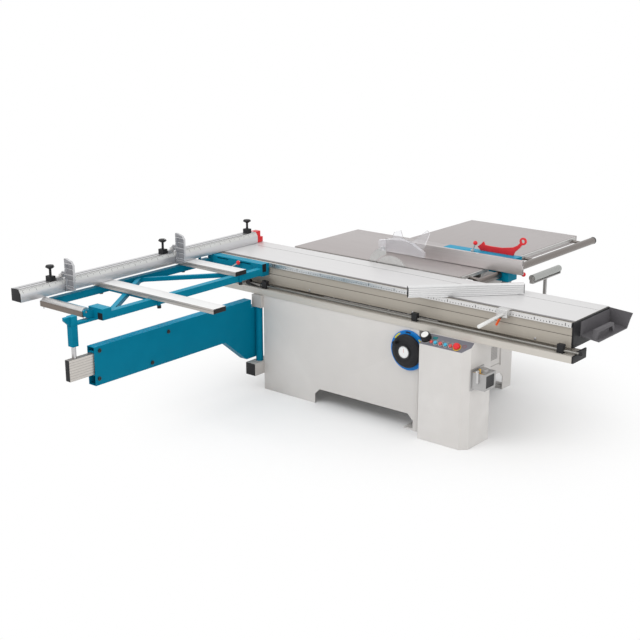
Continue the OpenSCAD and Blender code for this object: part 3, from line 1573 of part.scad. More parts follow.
// Lift slide: a block on the columns with the arbor housing, the riving knife's arm and the motor plate
module arbor_slide() {
    color("dimgray")
    difference() {
        union() {
            box_between([slide_x0, slide_y0, slide_z0], [slide_x1, slide_y1, slide_z1]);
            rod_y(slide_y0 - nose_l, slide_y0, blade_x, blade_z, nose_d);
            box_between([slide_x0 - knife_arm_l, saw_y + knife_t / 2,
                blade_z - knife_arm_reach - knife_arm_h / 2],
                [slide_x0, slide_y0 + knife_arm_h, blade_z - knife_arm_reach + knife_arm_h / 2]);
            for (s = [-1, 1])
                translate([blade_x + s * (motor_plate_w / 2 - rib_w / 2) - rib_w / 2, slide_y1, slide_z0])
                    cube([rib_w, motor_plate_y0 - slide_y1, slide_z1 - slide_z0]);
            box_between([blade_x - motor_plate_w / 2, motor_plate_y0, motor_z - motor_d / 2],
                [blade_x + motor_plate_w / 2, motor_plate_y1, slide_z1]);
        }
        for (s = [-1, 1])
            rod_z(slide_z0 - overrun, slide_z1 + overrun, blade_x + s * column_dx, column_y,
                lift_column_d + 2 * shaft_gap);
        rod_z(slide_z0 - overrun, slide_z1 + overrun, blade_x + screw_dx, column_y,
            lift_screw_d + 2 * run_gap);
        rod_y(slide_y0 - nose_l - overrun, slide_y1 + overrun, blade_x, blade_z, arbor_d + 2 * shaft_gap);
        rod_y(motor_plate_y0 - overrun, motor_plate_y1 + overrun, blade_x, motor_z, motor_shaft_hole_d);
    }
}

// Arbor with its flanges, nut and pulley
module main_arbor() {
    blade_y1 = saw_y + blade_t / 2;
    blade_y0 = saw_y - blade_t / 2;
    color("silver") {
        rod_y(blade_y1 + flange_t, pulley_y1, blade_x, blade_z, arbor_d);
        rod_y(blade_y1, blade_y1 + flange_t, blade_x, blade_z, flange_d);
        rod_y(blade_y0 - outer_flange_t - nut_t, blade_y1, blade_x, blade_z, bore_d - 2 * shaft_gap);
        rod_y(blade_y0 - outer_flange_t, blade_y0, blade_x, blade_z, flange_d);
        rod_y(blade_y0 - outer_flange_t - nut_t, blade_y0 - outer_flange_t, blade_x, blade_z, nut_d);
        rod_y(pulley_y0, pulley_y1, blade_x, blade_z, arbor_pulley_d);
    }
}

// Toothed blade with its bore
module main_blade() {
    r = blade_d / 2;
    step = 360 / blade_teeth;
    root = r * (1 - 2 * tooth_depth_share);
    color("lightgray")
    translate([blade_x, saw_y + blade_t / 2, blade_z]) rotate([90, 0, 0])
    difference() {
        linear_extrude(blade_t) polygon([for (i = [0:blade_teeth - 1], k = [0:1])
            (k == 0 ? r : root) * [cos(i * step + k * step / 4), sin(i * step + k * step / 4)]]);
        translate([0, 0, -overrun]) cylinder(h = blade_t + 2 * overrun, d = bore_d);
    }
}

// Riving knife behind the blade, concentric with it
module riving_knife() {
    r0 = blade_d / 2 + knife_gap;
    color("silver")
    translate([blade_x, saw_y + knife_t / 2, blade_z]) rotate([90, 0, 0])
    difference() {
        linear_extrude(knife_t) true_sector(r0, r0 + knife_w, knife_a0, knife_a1);
        translate(concat((r0 + knife_w * guard_pin_share) * [cos(guard_pin_a), sin(guard_pin_a)], -overrun))
            cylinder(h = knife_t + 2 * overrun, d = guard_pin_d + 2 * shaft_gap);
    }
}

// Clear hood over the blade, hung on a pin through the riving knife
module blade_guard() {
    r_pin = blade_d / 2 + knife_gap + knife_w * guard_pin_share;
    pin_x = blade_x + r_pin * cos(guard_pin_a);
    pin_z = blade_z + r_pin * sin(guard_pin_a);
    y0 = saw_y - guard_w / 2;
    y1 = saw_y + guard_w / 2;
    color("lightblue", 0.4) {
        difference() {
            along_y(y0, y1) guard_outline(0);
            along_y(y0 + guard_wall, y1 - guard_wall) guard_outline(guard_wall);
        }
        rod_y(y0 + guard_wall, y1 - guard_wall, pin_x, pin_z, guard_pin_d);
        along_y(saw_y - guard_wall, saw_y + guard_wall)
            for (fin = [back_fin, front_fin])
                polygon([for (f = fin) [guard_x0 + guard_l * f[0], guard_z0 + guard_h * f[1]]]);
    }
}

module guard_outline(inset) {
    x0 = guard_x0 - (inset > 0 ? overrun : 0);
    x1 = guard_x0 + guard_l;
    z0 = guard_z0 - (inset > 0 ? overrun : 0);
    z1 = guard_z0 + guard_h;
    heel = inset > 0 ? [[x0, z0]] : [[x0, z0 + guard_heel_h], [x0 + guard_heel_l, z0]];
    polygon(concat(heel, [[x1 - inset, z0], [x1 - inset, guard_z0 + guard_h / 3 - inset],
        [x1 - guard_l / 4, z1 - guard_h * guard_front_share - inset], [guard_x0 + guard_l / 2, z1 - inset],
        [guard_x0 + guard_l / 4, z1 - guard_h * guard_back_share - inset],
        [x0, guard_z0 + guard_h * 2 / 3 - inset]]));
}

// Motor body on the slide's plate, with its end cover
module main_motor() {
    y1 = motor_plate_y1 + motor_l;
    color("royalblue")
    difference() {
        union() {
            rod_y(motor_plate_y1, y1, blade_x, motor_z, motor_d * motor_cover_share);
            rod_y(motor_plate_y1, motor_plate_y1 + motor_cover_l, blade_x, motor_z, motor_d);
            rod_y(y1 - motor_cover_l, y1, blade_x, motor_z, motor_d);
        }
        rod_y(motor_plate_y1 - overrun, motor_plate_y1 + motor_seat, blade_x, motor_z,
            motor_shaft_d + 2 * shaft_gap);
    }
}

module motor_pulley() {
    color("silver") {
        rod_y(pulley_y0, pulley_y1, blade_x, motor_z, motor_pulley_d);
        rod_y(pulley_y1, motor_plate_y1 + motor_seat - overrun, blade_x, motor_z, motor_shaft_d);
    }
}

// Outline of a belt round the two pulleys at a radial offset
module belt_outline(grow) {
    hull() {
        translate([blade_x, blade_z]) circle(d = arbor_pulley_d + 2 * grow);
        translate([blade_x, motor_z]) circle(d = motor_pulley_d + 2 * grow);
    }
}

module drive_belt() {
    mid = (pulley_y0 + pulley_y1) / 2;
    color("black") along_y(mid - belt_w / 2, mid + belt_w / 2) difference() {
        belt_outline(belt_gap + belt_t);
        belt_outline(belt_gap);
    }
}

// Scoring blade on its spindle, with its pulley
module scoring_arbor() {
    house_y0 = slide_y0 - nose_l;
    house_y1 = house_y0 + scoring_house_l;
    r = scoring_d / 2;
    teeth = 24;
    step = 360 / teeth;
    root = r * (1 - 2 * tooth_depth_share);
    color("lightgray") {
        translate([scoring_x, saw_y + scoring_t / 2, scoring_z]) rotate([90, 0, 0])
            linear_extrude(scoring_t) polygon([for (i = [0:teeth - 1], k = [0:1])
                (k == 0 ? r : root) * [cos(i * step + k * step / 4), sin(i * step + k * step / 4)]]);
        rod_y(saw_y - scoring_t / 2 - scoring_flange_t, saw_y - scoring_t / 2, scoring_x, scoring_z,
            scoring_flange_d / 2);
        rod_y(saw_y + scoring_t / 2, house_y0 - run_gap, scoring_x, scoring_z, scoring_flange_d);
        rod_y(saw_y - scoring_t / 2 - scoring_flange_t / 2, house_y1 + run_gap + scoring_pulley_w, scoring_x,
            scoring_z, scoring_shaft_d);
        rod_y(house_y1 + run_gap, house_y1 + run_gap + scoring_pulley_w, scoring_x, scoring_z,
            scoring_pulley_d);
    }
}

module lift_screw() {
    color("silver") rod_z(beam_low_z1 + run_gap, slide_z1 - rest_gap, blade_x + screw_dx, column_y,
        lift_screw_d);
}

// Handwheel, its ring and the worm shaft

module handwheel_ring() {
    color("dodgerblue")
    difference() {
        union() {
            rod_y(cab_y0 - ring_t, cab_y0, wheel_x, wheel_z, ring_d);
            rod_y(cab_y0, cab_y0 + cabinet_wall + ring_t, wheel_x, wheel_z, ring_bush_d - 2 * run_gap);
        }
        rod_y(cab_y0 - ring_t - overrun, cab_y0 + cabinet_wall + ring_t + overrun, wheel_x, wheel_z,
            wheel_shaft_d + 2 * shaft_gap);
    }
}

module handwheel() {
    y1 = cab_y0 - ring_t - run_gap;
    y0 = y1 - wheel_t;
    crank_r = wheel_d / 2 * crank_r_share;
    color("black") {
        translate([wheel_x, y1, wheel_z]) rotate([90, 0, 0]) rotate_extrude($fn = 64)
            polygon([[0, 0], [wheel_hub_d / 2, 0], [wheel_d / 2 - wheel_rim_d, wheel_t / 4],
                [wheel_d / 2, wheel_t / 4],
                [wheel_d / 2, wheel_t / 2], [wheel_d / 2 - wheel_rim_d / 4, wheel_t * 3 / 4],
                [wheel_d / 2 - wheel_rim_d, wheel_t], [0, wheel_t]]);
        rod_y(y0 - crank_l, y0, wheel_x - crank_r * cos(crank_a), wheel_z + crank_r * sin(crank_a), crank_d);
    }
    color("white") rod_y(y0 - dial_t, y0, wheel_x, wheel_z, dial_d);
    color("silver") {
        rod_y(y1, guide_block_y0 + worm_block_w, wheel_x, wheel_z, wheel_shaft_d);
        rod_y(saw_y - worm_l / 2, saw_y + worm_l / 2, wheel_x, wheel_z, worm_d);
    }
}

// Control box

module control_box() {
    color("gainsboro")
    difference() {
        union() {
            intersection() {
                along_x(box_x0, box_x1)
                    polygon([[box_y0, 0], [box_y1, 0], [box_y1, box_top], [panel_back_y, box_top],
                        [box_y0, panel_low_h]]);
                linear_extrude(box_top)
                    polygon([[box_x0, box_y0], [box_x1 - box_chamfer, box_y0],
                        [box_x1, box_y0 + box_chamfer],
                        [box_x1, box_y1], [box_x0, box_y1]]);
            }
            box_between([cab_x1, neck_y0, neck_z0], [box_x0, neck_y1, neck_z1]);
        }
        along_x(box_x0 + box_wall, box_x1 - box_wall - box_chamfer)
            polygon([[box_y0 + box_wall, box_wall], [box_y1 - box_wall, box_wall],
                [box_y1 - box_wall, box_top - 2 * box_wall],
                [panel_back_y + 2 * box_wall, box_top - 2 * box_wall],
                [box_y0 + box_wall, panel_low_h - panel_rise / 2]]);
        on_panel([for (i = [0:3]) button_first_share + i * button_step_share], button_row_share)
            translate([0, 0, -panel_len]) cylinder(h = 2 * panel_len, d = button_stem_d + 2 * run_gap);
        on_panel([estop_share[0]], estop_share[1])
            translate([0, 0, -panel_len]) cylinder(h = 2 * panel_len, d = estop_stem_d + 2 * run_gap);
        on_panel([knob_share[0]], knob_share[1])
            translate([0, 0, -panel_len]) cylinder(h = 2 * panel_len, d = button_stem_d + 2 * run_gap);
    }
}

// Places shapes on the sloped panel: shares along its length and up its slope, with Z out of the panel
module on_panel(along_shares, up_share) {
    for (a = along_shares)
        translate([box_x0 + box_w * a, box_y0 + panel_run * up_share, panel_low_h + panel_rise * up_share])
            rotate([panel_slope, 0, 0]) children();
}

module control_knob() {
    on_panel([knob_share[0]], knob_share[1]) {
        color("black") translate([0, 0, run_gap]) rotate_extrude() polygon([[0, 0], [knob_d / 2, 0],
            [knob_d / 2, knob_h / 3],
            [knob_d / 2 * knob_top_share, knob_h], [0, knob_h]]);
        color("silver") translate([0, 0, -button_stem_l])
            cylinder(h = button_stem_l + run_gap, d = button_stem_d);
    }
}

module push_button(i, tint) {
    on_panel([button_first_share + i * button_step_share], button_row_share)
        color(tint) {
            translate([0, 0, button_travel + run_gap]) cylinder(h = button_h, d = button_d);
            translate([0, 0, -button_stem_l])
                cylinder(h = button_stem_l + button_travel + run_gap, d = button_stem_d);
        }
}

module button_1() {
    push_button(0, "deepskyblue");
}

module button_2() {
    push_button(1, "tomato");
}

module button_3() {
    push_button(2, "deepskyblue");
}

module button_4() {
    push_button(3, "tomato");
}

module stop_button() {
    on_panel([estop_share[0]], estop_share[1])
        color("red") {
            translate([0, 0, estop_travel + run_gap]) rotate_extrude() polygon([[0, 0], [estop_d / 2, 0],
                [estop_d / 2, estop_h / 2], [estop_d / 3, estop_h], [0, estop_h]]);
            translate([0, 0, -button_stem_l])
                cylinder(h = button_stem_l + estop_travel + run_gap, d = estop_stem_d);
        }
}

// Hand oil pump on the control box's end
module oil_pump() {
    x0 = box_x1;
    x1 = x0 + pump_plate_t;
    y1 = pump_y0 + pump_w;
    z1 = pump_z0 + pump_h;
    color("silver") {
        difference() {
            union() {
                box_between([x0, pump_y0 - pump_plate_rim, pump_z0 - pump_plate_rim],
                    [x1, y1 + pump_plate_rim, z1 + pump_plate_rim]);
                box_between([x1, pump_y0, pump_z0], [x0 + pump_l, y1, z1]);
                rod_z(z1, z1 + pump_cap_h, x0 + pump_l / 2, y1 - pump_cap_d, pump_cap_d);
            }
            box_between([x0 + pump_l - pump_window_t, pump_y0 + pump_plate_rim, pump_z0 + pump_plate_rim],
                [x0 + pump_l + overrun, y1 - pump_plate_rim, z1 - pump_plate_rim]);
            rod_y(pump_y0 - overrun, pump_y0 + pump_pivot_d, x0 + pump_l / 2, pump_z0 + pump_h / 2,
                pump_pivot_d + 2 * shaft_gap);
        }
    }
    color("goldenrod") rod_z(z1, z1 + pump_valve_h, x0 + pump_l / 2, pump_y0 + pump_valve_d, pump_valve_d);
}

module pump_lever() {
    x = box_x1 + pump_l / 2;
    z = pump_z0 + pump_h / 2;
    y1 = pump_y0 - run_gap;
    color("silver") {
        rod_y(y1 - pump_lever_t, pump_y0 + pump_pivot_d - overrun, x, z, pump_pivot_d);
        box_between([x - pump_lever_w / 2, y1 - pump_lever_t, z],
            [x + pump_lever_w / 2, y1, z + pump_lever_l - pump_lever_w]);
        rod_y(y1 - 2 * pump_lever_t, y1, x, z + pump_lever_l - pump_lever_w, pump_lever_w);
    }
}

// Infeed support roller

module roller_bracket() {
    y_mid = in_roller_y0 + in_roller_l / 2;
    ear_z0 = in_roller_z - in_yoke_drop;
    color("gray")
    difference() {
        union() {
            box_between([cab_x1, y_mid - in_arm_s / 2, in_arm_z1 - in_arm_s],
                [in_roller_x + in_post_s / 2, y_mid + in_arm_s / 2, in_arm_z1]);
            box_between([in_roller_x - in_stem_s / 2, y_mid - in_stem_s / 2, in_arm_z1],
                [in_roller_x + in_stem_s / 2, y_mid + in_stem_s / 2, ear_z0]);
            box_between([in_roller_x - in_post_s / 2, in_roller_y0 - in_ear_t - run_gap, ear_z0],
                [in_roller_x + in_post_s / 2, in_roller_y0 + in_roller_l + in_ear_t + run_gap,
                    ear_z0 + in_yoke_t]);
            for (y = [in_roller_y0 - in_ear_t - run_gap, in_roller_y0 + in_roller_l + run_gap])
                box_between([in_roller_x - in_post_s / 2, y, ear_z0],
                    [in_roller_x + in_post_s / 2, y + in_ear_t, in_roller_z + in_roller_pin_d]);
        }
        rod_y(in_roller_y0 - 2 * in_ear_t, in_roller_y0 + in_roller_l + 2 * in_ear_t, in_roller_x,
            in_roller_z,
            in_roller_pin_d + 2 * shaft_gap);
    }
}

module infeed_roller() {
    color("whitesmoke") {
        rod_y(in_roller_y0, in_roller_y0 + in_roller_l, in_roller_x, in_roller_z, in_roller_d);
        rod_y(in_roller_y0 - in_ear_t, in_roller_y0 + in_roller_l + in_ear_t, in_roller_x, in_roller_z,
            in_roller_pin_d);
    }
}

// Rip fence

// Casting that rides on the guide bar and holds the plate by a key
module rip_body() {
    head_x0 = guide_x - head_l / 2;
    arm_z0 = plate_z0;
    key_z = (plate_z0 + plate_z1) / 2;
    color("darkcyan")
    difference() {
        union() {
            box_between([body_x0, body_y0, arm_z0], [body_x1, body_y0 + body_w, body_z1]);
            box_between([head_x0, body_y0, head_z0], [head_x0 + head_l, body_y0 + head_w, body_z1]);
            box_between([body_x0, body_y0 - key_l, key_z - key_h / 2],
                [body_x1, body_y0, key_z + key_h / 2]);
        }
        rod_y(body_y0 - overrun, body_y0 + head_w + overrun, guide_x, guide_z, guide_d + 2 * run_gap);
        box_between([head_x0 - overrun, body_y0 - overrun, guide_z - stud_d / 2 - rest_gap],
            [guide_x, body_y0 + head_w + overrun, guide_z + stud_d / 2 + rest_gap]);
        rod_x(body_x1 - rip_lock_pin_l - rest_gap, body_x1 + overrun, rip_lock_y, rip_lock_z,
            rip_lock_pin_d + 2 * shaft_gap);
    }
}

// Extruded fence plate with a key slot along its back
module rip_plate() {
    mid_z = (plate_z0 + plate_z1) / 2;
    color("lightgray")
    along_x(plate_x0, plate_x1) difference() {
        flat_between([plate_y0, plate_z0], [plate_y1, plate_z1]);
        flat_between([plate_y1 - plate_slot_depth, mid_z - plate_slot_h / 2],
            [plate_y1 + overrun, mid_z + plate_slot_h / 2]);
        for (z = [[plate_z0 + plate_wall, mid_z - plate_slot_h / 2 - plate_wall],
            [mid_z + plate_slot_h / 2 + plate_wall, plate_z1 - plate_wall]])
            flat_between([plate_y0 + plate_wall, z[0]], [plate_y1 - plate_wall, z[1]]);
    }
}

// Push stick kept on top of the rip body: a notched nose, a straight foot and a ring handle
module push_stick() {
    x0 = stick_x1 - push_stick_l;
    y = body_y0 + body_w - stick_t - stick_inset;
    ring_at = [x0, body_z1] + push_stick_l * stick_ring_shares;
    color("red")
    along_y(y, y + stick_t) difference() {
        union() {
            polygon([for (p = stick_shares) [x0, body_z1] + push_stick_l * p]);
            translate(ring_at) circle(d = push_stick_l * stick_ring_d_share);
        }
        translate(ring_at) circle(d = push_stick_l * stick_ring_hole_share);
    }
}

// Lever that locks the rip fence, with a ball end
module rip_lever() {
    y_mid = body_y0 + body_w / 4;
    color("silver") {
        rod_z(body_z1 + run_gap, body_z1 + lever_boss_h, rip_lever_x, y_mid, lever_boss_d);
        translate([rip_lever_x, y_mid, body_z1 + lever_boss_h / 2]) rotate([0, rip_lever_lean, 0])
            cylinder(h = rip_lever_l, d = lever_stem_d);
    }
    color("red") translate([rip_lever_x, y_mid,
        body_z1 + lever_boss_h / 2] + rip_lever_l * [sin(rip_lever_lean), 0, cos(rip_lever_lean)])
        sphere(d = lever_ball_d);
}

// Lever at the rip body's operator end: a pin in the body, a boss, a stem and a ball
module rip_lock() {
    boss_x0 = body_x1 + run_gap;
    color("silver") {
        rod_x(body_x1 - rip_lock_pin_l, boss_x0 + rip_lock_boss_l, rip_lock_y, rip_lock_z, rip_lock_pin_d);
        rod_x(boss_x0, boss_x0 + rip_lock_boss_l, rip_lock_y, rip_lock_z, lever_boss_d);
        translate([boss_x0 + rip_lock_boss_l / 2, rip_lock_y, rip_lock_z]) rotate([0, rip_lock_lean, 0])
            cylinder(h = rip_lock_l, d = lever_stem_d);
    }
    color("red") translate([boss_x0 + rip_lock_boss_l / 2, rip_lock_y, rip_lock_z]
        + rip_lock_l * [sin(rip_lock_lean), 0, cos(rip_lock_lean)])
        sphere(d = lever_ball_d);
}

cabinet();
service_door();
trunnion_brackets();
table_supports();
main_table();
extension_table();
guide_bar();
beam();
beam_fittings();
lock_rod();
roller_saddle();
arm_brackets();
control_box();
handwheel_ring();
handwheel();
oil_pump();
pump_lever();
infeed_roller();
control_knob();
button_1();
button_2();
button_3();
button_4();
stop_button();
carriage();
edge_rail();
carriage_ends();
push_handle();
push_lever();
mitre_fence();
crosscut_frame();
end_roller();
ball_lever();
support_bar_1();
support_bar_2();
crosscut_fence();
splinter_block();
stop_1();
flag_1();
stop_2();
flag_2();
swing_arm();
telescopic_tube();
post();
trunnion();
arbor_slide();
main_arbor();
main_blade();
riving_knife();
blade_guard();
main_motor();
motor_pulley();
drive_belt();
scoring_arbor();
lift_screw();
rip_body();
rip_plate();
push_stick();
rip_lever();
rip_lock();
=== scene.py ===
import math

import bmesh
import bpy
from mathutils import Matrix, Vector


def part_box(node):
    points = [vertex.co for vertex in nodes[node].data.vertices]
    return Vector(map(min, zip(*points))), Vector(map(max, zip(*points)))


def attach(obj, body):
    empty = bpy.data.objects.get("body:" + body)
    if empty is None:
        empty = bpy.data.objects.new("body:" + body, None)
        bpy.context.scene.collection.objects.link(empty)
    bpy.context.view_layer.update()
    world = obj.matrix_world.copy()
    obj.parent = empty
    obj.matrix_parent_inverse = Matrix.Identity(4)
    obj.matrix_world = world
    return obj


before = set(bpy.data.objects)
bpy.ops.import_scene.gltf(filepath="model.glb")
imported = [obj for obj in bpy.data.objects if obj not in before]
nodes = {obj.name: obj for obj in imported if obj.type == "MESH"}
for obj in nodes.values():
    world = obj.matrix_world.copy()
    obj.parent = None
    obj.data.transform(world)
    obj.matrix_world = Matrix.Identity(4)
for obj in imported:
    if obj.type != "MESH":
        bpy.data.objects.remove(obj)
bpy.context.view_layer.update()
scene = bpy.context.scene


# Materials. Lengths are in metres, colours in sRGB from 0 to 255.

NOISE_LOW, NOISE_HIGH = 0.3, 0.7
BROAD_SHARE, SMALL_SHARE = 0.65, 0.35
BROAD_DETAIL, SMALL_DETAIL = 5.0, 3.0
BUMP_DEPTH = 0.002
# The pointiness over which convex edges take their painted highlight
HIGHLIGHT_FROM, HIGHLIGHT_TO = 0.53, 0.62
# The sockets of a Mix node that mixes colours
MIX_FACTOR, MIX_A, MIX_B, MIX_RESULT = 0, 6, 7, 2
# A rule's marks: one each so many steps, and the share of the rule's depth that it crosses
TICKS = ((1, 0.35), (5, 0.6), (10, 0.95))
TICK_WIDTH = 0.22


def tint(r, g, b, share=1.0):
    """An sRGB colour given in 0 to 255, as linear RGBA, scaled by share."""
    out = []
    for c in (r / 255, g / 255, b / 255):
        out.append(share * (c / 12.92 if c <= 0.04045 else ((c + 0.055) / 1.055) ** 2.4))
    return (*out, 1.0)


class Paint:
    """A Principled material whose colour, roughness and relief vary over the object."""

    def __init__(self, name, rgb, shade=0.9, grain=9.0, stretch=(1, 1, 1), rough=(0.4, 0.55),
                 metal=0.0, relief=0.04, fine=180.0, coat=0.0, edge_highlight=None, specular=0.5):
        self.material = bpy.data.materials.new(name)
        self.material.use_nodes = True
        self.tree = self.material.node_tree
        self.tree.nodes.clear()
        self.out = self.node("ShaderNodeOutputMaterial")
        self.shader = self.node("ShaderNodeBsdfPrincipled", {
            "Metallic": metal, "Coat Weight": coat, "Specular IOR Level": specular})
        self.join(self.shader.outputs["BSDF"], self.out.inputs["Surface"])
        self.coords = self.node("ShaderNodeTexCoord").outputs["Object"]
        self.axes = None
        place = self.node("ShaderNodeMapping", {"Scale": stretch})
        self.join(self.coords, place.inputs["Vector"])
        broad = self.noise(place.outputs["Vector"], grain, BROAD_DETAIL)
        small = self.noise(place.outputs["Vector"], fine, SMALL_DETAIL)
        ramp = self.node("ShaderNodeValToRGB")
        dark, pale = ramp.color_ramp.elements
        dark.position, pale.position = NOISE_LOW, NOISE_HIGH
        dark.color, pale.color = tint(*rgb, shade), tint(*rgb)
        self.join(self.maths("ADD", self.maths("MULTIPLY", broad, BROAD_SHARE),
                             self.maths("MULTIPLY", small, SMALL_SHARE)), ramp.inputs["Fac"])
        self.colour = ramp.outputs["Color"]
        spread = self.node("ShaderNodeMapRange", {
            "From Min": NOISE_LOW, "From Max": NOISE_HIGH,
            "To Min": rough[0], "To Max": rough[1]})
        self.join(small, spread.inputs["Value"])
        self.join(spread.outputs["Result"], self.shader.inputs["Roughness"])
        bump = self.node("ShaderNodeBump", {"Strength": relief, "Distance": BUMP_DEPTH})
        self.join(small, bump.inputs["Height"])
        self.join(bump.outputs["Normal"], self.shader.inputs["Normal"])
        # Convex edges, picked by pointiness and patchy by the broad noise, are painted a lighter
        # tint of the colour: a painted highlight along the edges
        if edge_highlight:
            edge = self.node("ShaderNodeMapRange", {"From Min": HIGHLIGHT_FROM, "From Max": HIGHLIGHT_TO})
            geometry = self.node("ShaderNodeNewGeometry")
            self.join(geometry.outputs["Pointiness"], edge.inputs["Value"])
            self.mark(self.both(edge.outputs["Result"], broad), edge_highlight)
        self.join(self.colour, self.shader.inputs["Base Color"])

    def node(self, kind, values=None):
        """A new node, with the constants that values gives by the names of its sockets."""
        new = self.tree.nodes.new(kind)
        for socket, value in (values or {}).items():
            new.inputs[socket].default_value = value
        return new

    def join(self, a, b):
        self.tree.links.new(a, b)

    def noise(self, vector, scale, detail):
        n = self.node("ShaderNodeTexNoise", {"Scale": scale, "Detail": detail})
        self.join(vector, n.inputs["Vector"])
        return n.outputs["Fac"]

    def maths(self, kind, *values):
        n = self.node("ShaderNodeMath")
        n.operation = kind
        for i, v in enumerate(values):
            if isinstance(v, (int, float)):
                n.inputs[i].default_value = v
            else:
                self.join(v, n.inputs[i])
        return n.outputs[0]

    def both(self, a, b):
        """A mask of the places that two masks share."""
        return self.maths("MULTIPLY", a, b)

    def length(self, a, b):
        """The length of a vector with these two parts."""
        return self.maths("SQRT", self.maths("ADD", self.maths("MULTIPLY", a, a),
                                             self.maths("MULTIPLY", b, b)))

    def along(self, axis, start=None):
        """The object's own coordinate on an axis, in metres, from a start if one is given."""
        if self.axes is None:
            self.axes = self.node("ShaderNodeSeparateXYZ")
            self.join(self.coords, self.axes.inputs[0])
        value = self.axes.outputs["XYZ".index(axis)]
        return value if start is None else self.maths("SUBTRACT", value, start)

    def between(self, value, low, high):
        return self.both(self.maths("GREATER_THAN", value, low),
                         self.maths("LESS_THAN", value, high))

    def band(self, axis, low, high):
        """A mask of what lies between two planes across an axis."""
        return self.between(self.along(axis), low, high)

    def lines(self, value, pitch, width, start=0.0):
        """A mask of lines of that width, one each pitch."""
        turn = self.maths("FRACT", self.maths("DIVIDE", self.maths("SUBTRACT", value, start),
                                              pitch))
        return self.maths("LESS_THAN", turn, width / pitch)

    def mark(self, mask, ink):
        """Colours the places where the mask is 1."""
        mix = self.node("ShaderNodeMix")
        mix.data_type = "RGBA"
        self.join(mask, mix.inputs[MIX_FACTOR])
        self.join(self.colour, mix.inputs[MIX_A])
        mix.inputs[MIX_B].default_value = tint(*ink)
        self.colour = mix.outputs[MIX_RESULT]
        self.join(self.colour, self.shader.inputs["Base Color"])

    def ruler(self, axis, across, low, high, ink=(60, 60, 62), step=0.01):
        """Marks like a rule's: short ones each step, longer ones at five and ten steps."""
        for steps, share in TICKS:
            marks = self.lines(self.along(axis), step * steps, step * TICK_WIDTH)
            self.mark(self.both(marks, self.band(across, low, low + (high - low) * share)), ink)

    def polar(self, centre):
        """The angle, 0 to 1 for a turn, and the radius about a centre in the X-Z plane."""
        dx, dz = self.along("X", centre.x), self.along("Z", centre.z)
        turn = self.maths("DIVIDE", self.maths("ARCTAN2", dz, dx), 2 * math.pi)
        return turn, self.length(dx, dz)


BRUSH_X = (0.06, 6.0, 6.0)
BRUSH_Y = (6.0, 0.06, 6.0)
BLACK_RGB = (34, 34, 36)
TEAL_RGB = (0, 114, 143)
TEAL_COAT = dict(shade=0.92, rough=(0.4, 0.52), relief=0.05, fine=350)

# Paint and plastic. A paint given a second, lighter tint of its own colour takes it on its
# convex edges as a painted highlight
cabinet_paint = Paint("cabinet_paint", (208, 205, 202), shade=0.965, rough=(0.42, 0.54),
                      relief=0.04, fine=420, edge_highlight=(222, 220, 218), specular=0.25)
panel_grey = Paint("panel_grey", (114, 114, 122), shade=0.92, rough=(0.45, 0.58), relief=0.05,
                   fine=300, specular=0.25)
louvre_grey = Paint("louvre_grey", (132, 131, 134), shade=0.9, rough=(0.4, 0.55), fine=260)
teal = Paint("teal_paint", TEAL_RGB, specular=0.04, edge_highlight=(16, 128, 154), **TEAL_COAT)
# A lighter teal for the top faces of the swing arm and the rip fence body: painted light on
# their tops
teal_lit_top = Paint("teal_paint_lit_top", (4, 152, 190), shade=0.92, rough=(0.38, 0.5), relief=0.05,
                   fine=350, specular=0.12)
# A lighter teal for the crosscut frame's faces that look up: painted light on the tops of the
# tubes
teal_frame_lit_top = Paint("teal_frame_lit_top", (4, 144, 178), shade=0.93, rough=(0.36, 0.48), relief=0.05,
                 fine=350, specular=0.12, edge_highlight=(40, 150, 176))
bracket_end = Paint("bracket_end", TEAL_RGB, specular=0.06, **TEAL_COAT)
block_end = Paint("block_end", TEAL_RGB, specular=0.06, **TEAL_COAT)
blue = Paint("ring_blue", (20, 124, 206), shade=0.86, rough=(0.34, 0.46), specular=0.2)
black = Paint("black_plastic", BLACK_RGB, shade=0.7, rough=(0.42, 0.58), relief=0.08, fine=500,
              specular=0.25)
tray_grey = Paint("tray_plastic", (94, 92, 95), shade=0.85, rough=(0.45, 0.62), relief=0.1,
                  fine=600, specular=0.25)
red = Paint("red_plastic", (226, 48, 54), shade=0.84, rough=(0.28, 0.4), relief=0.03,
            specular=0.3)
orange = Paint("orange_plastic", (232, 92, 30), shade=0.85, rough=(0.3, 0.42), specular=0.3)
cyan = Paint("blue_plastic", (70, 176, 208), shade=0.88, rough=(0.28, 0.42), specular=0.3)
key_red = Paint("key_red", (214, 88, 84), shade=0.88, rough=(0.28, 0.42), specular=0.3)
yellow = Paint("yellow_plastic", (238, 198, 30), shade=0.88, rough=(0.32, 0.45))
white = Paint("white_plastic", (232, 232, 230), shade=0.94, rough=(0.35, 0.48))
dial = Paint("dial_white", (230, 231, 230), shade=0.95, rough=(0.3, 0.42))
window = Paint("sight_glass", (30, 30, 32), shade=0.8, rough=(0.2, 0.3), coat=0.1, specular=0.2)
display = Paint("display_teal", (34, 118, 122), shade=0.88, rough=(0.2, 0.3), specular=0.3)
mark_red = Paint("mark_red", (140, 44, 52), shade=0.9, rough=(0.35, 0.5), specular=0.2)
motor_paint = Paint("motor_paint", (58, 84, 122), shade=0.8, rough=(0.4, 0.55), relief=0.2,
                    fine=200)
rubber = Paint("belt_rubber", (34, 33, 33), shade=0.7, rough=(0.7, 0.85), relief=0.3, fine=500)
groove_dark = Paint("groove_shadow", (96, 92, 86), shade=0.85, rough=(0.5, 0.65))
bracket_grey = Paint("bracket_grey", (190, 186, 182), shade=0.9, rough=(0.4, 0.52), metal=0.1,
                     fine=260)
clear = Paint("clear_plastic", (250, 250, 252), shade=0.98, rough=(0.03, 0.07), relief=0.01,
              fine=60)
clear.shader.inputs["Transmission Weight"].default_value = 0.9
clear.shader.inputs["IOR"].default_value = 1.08

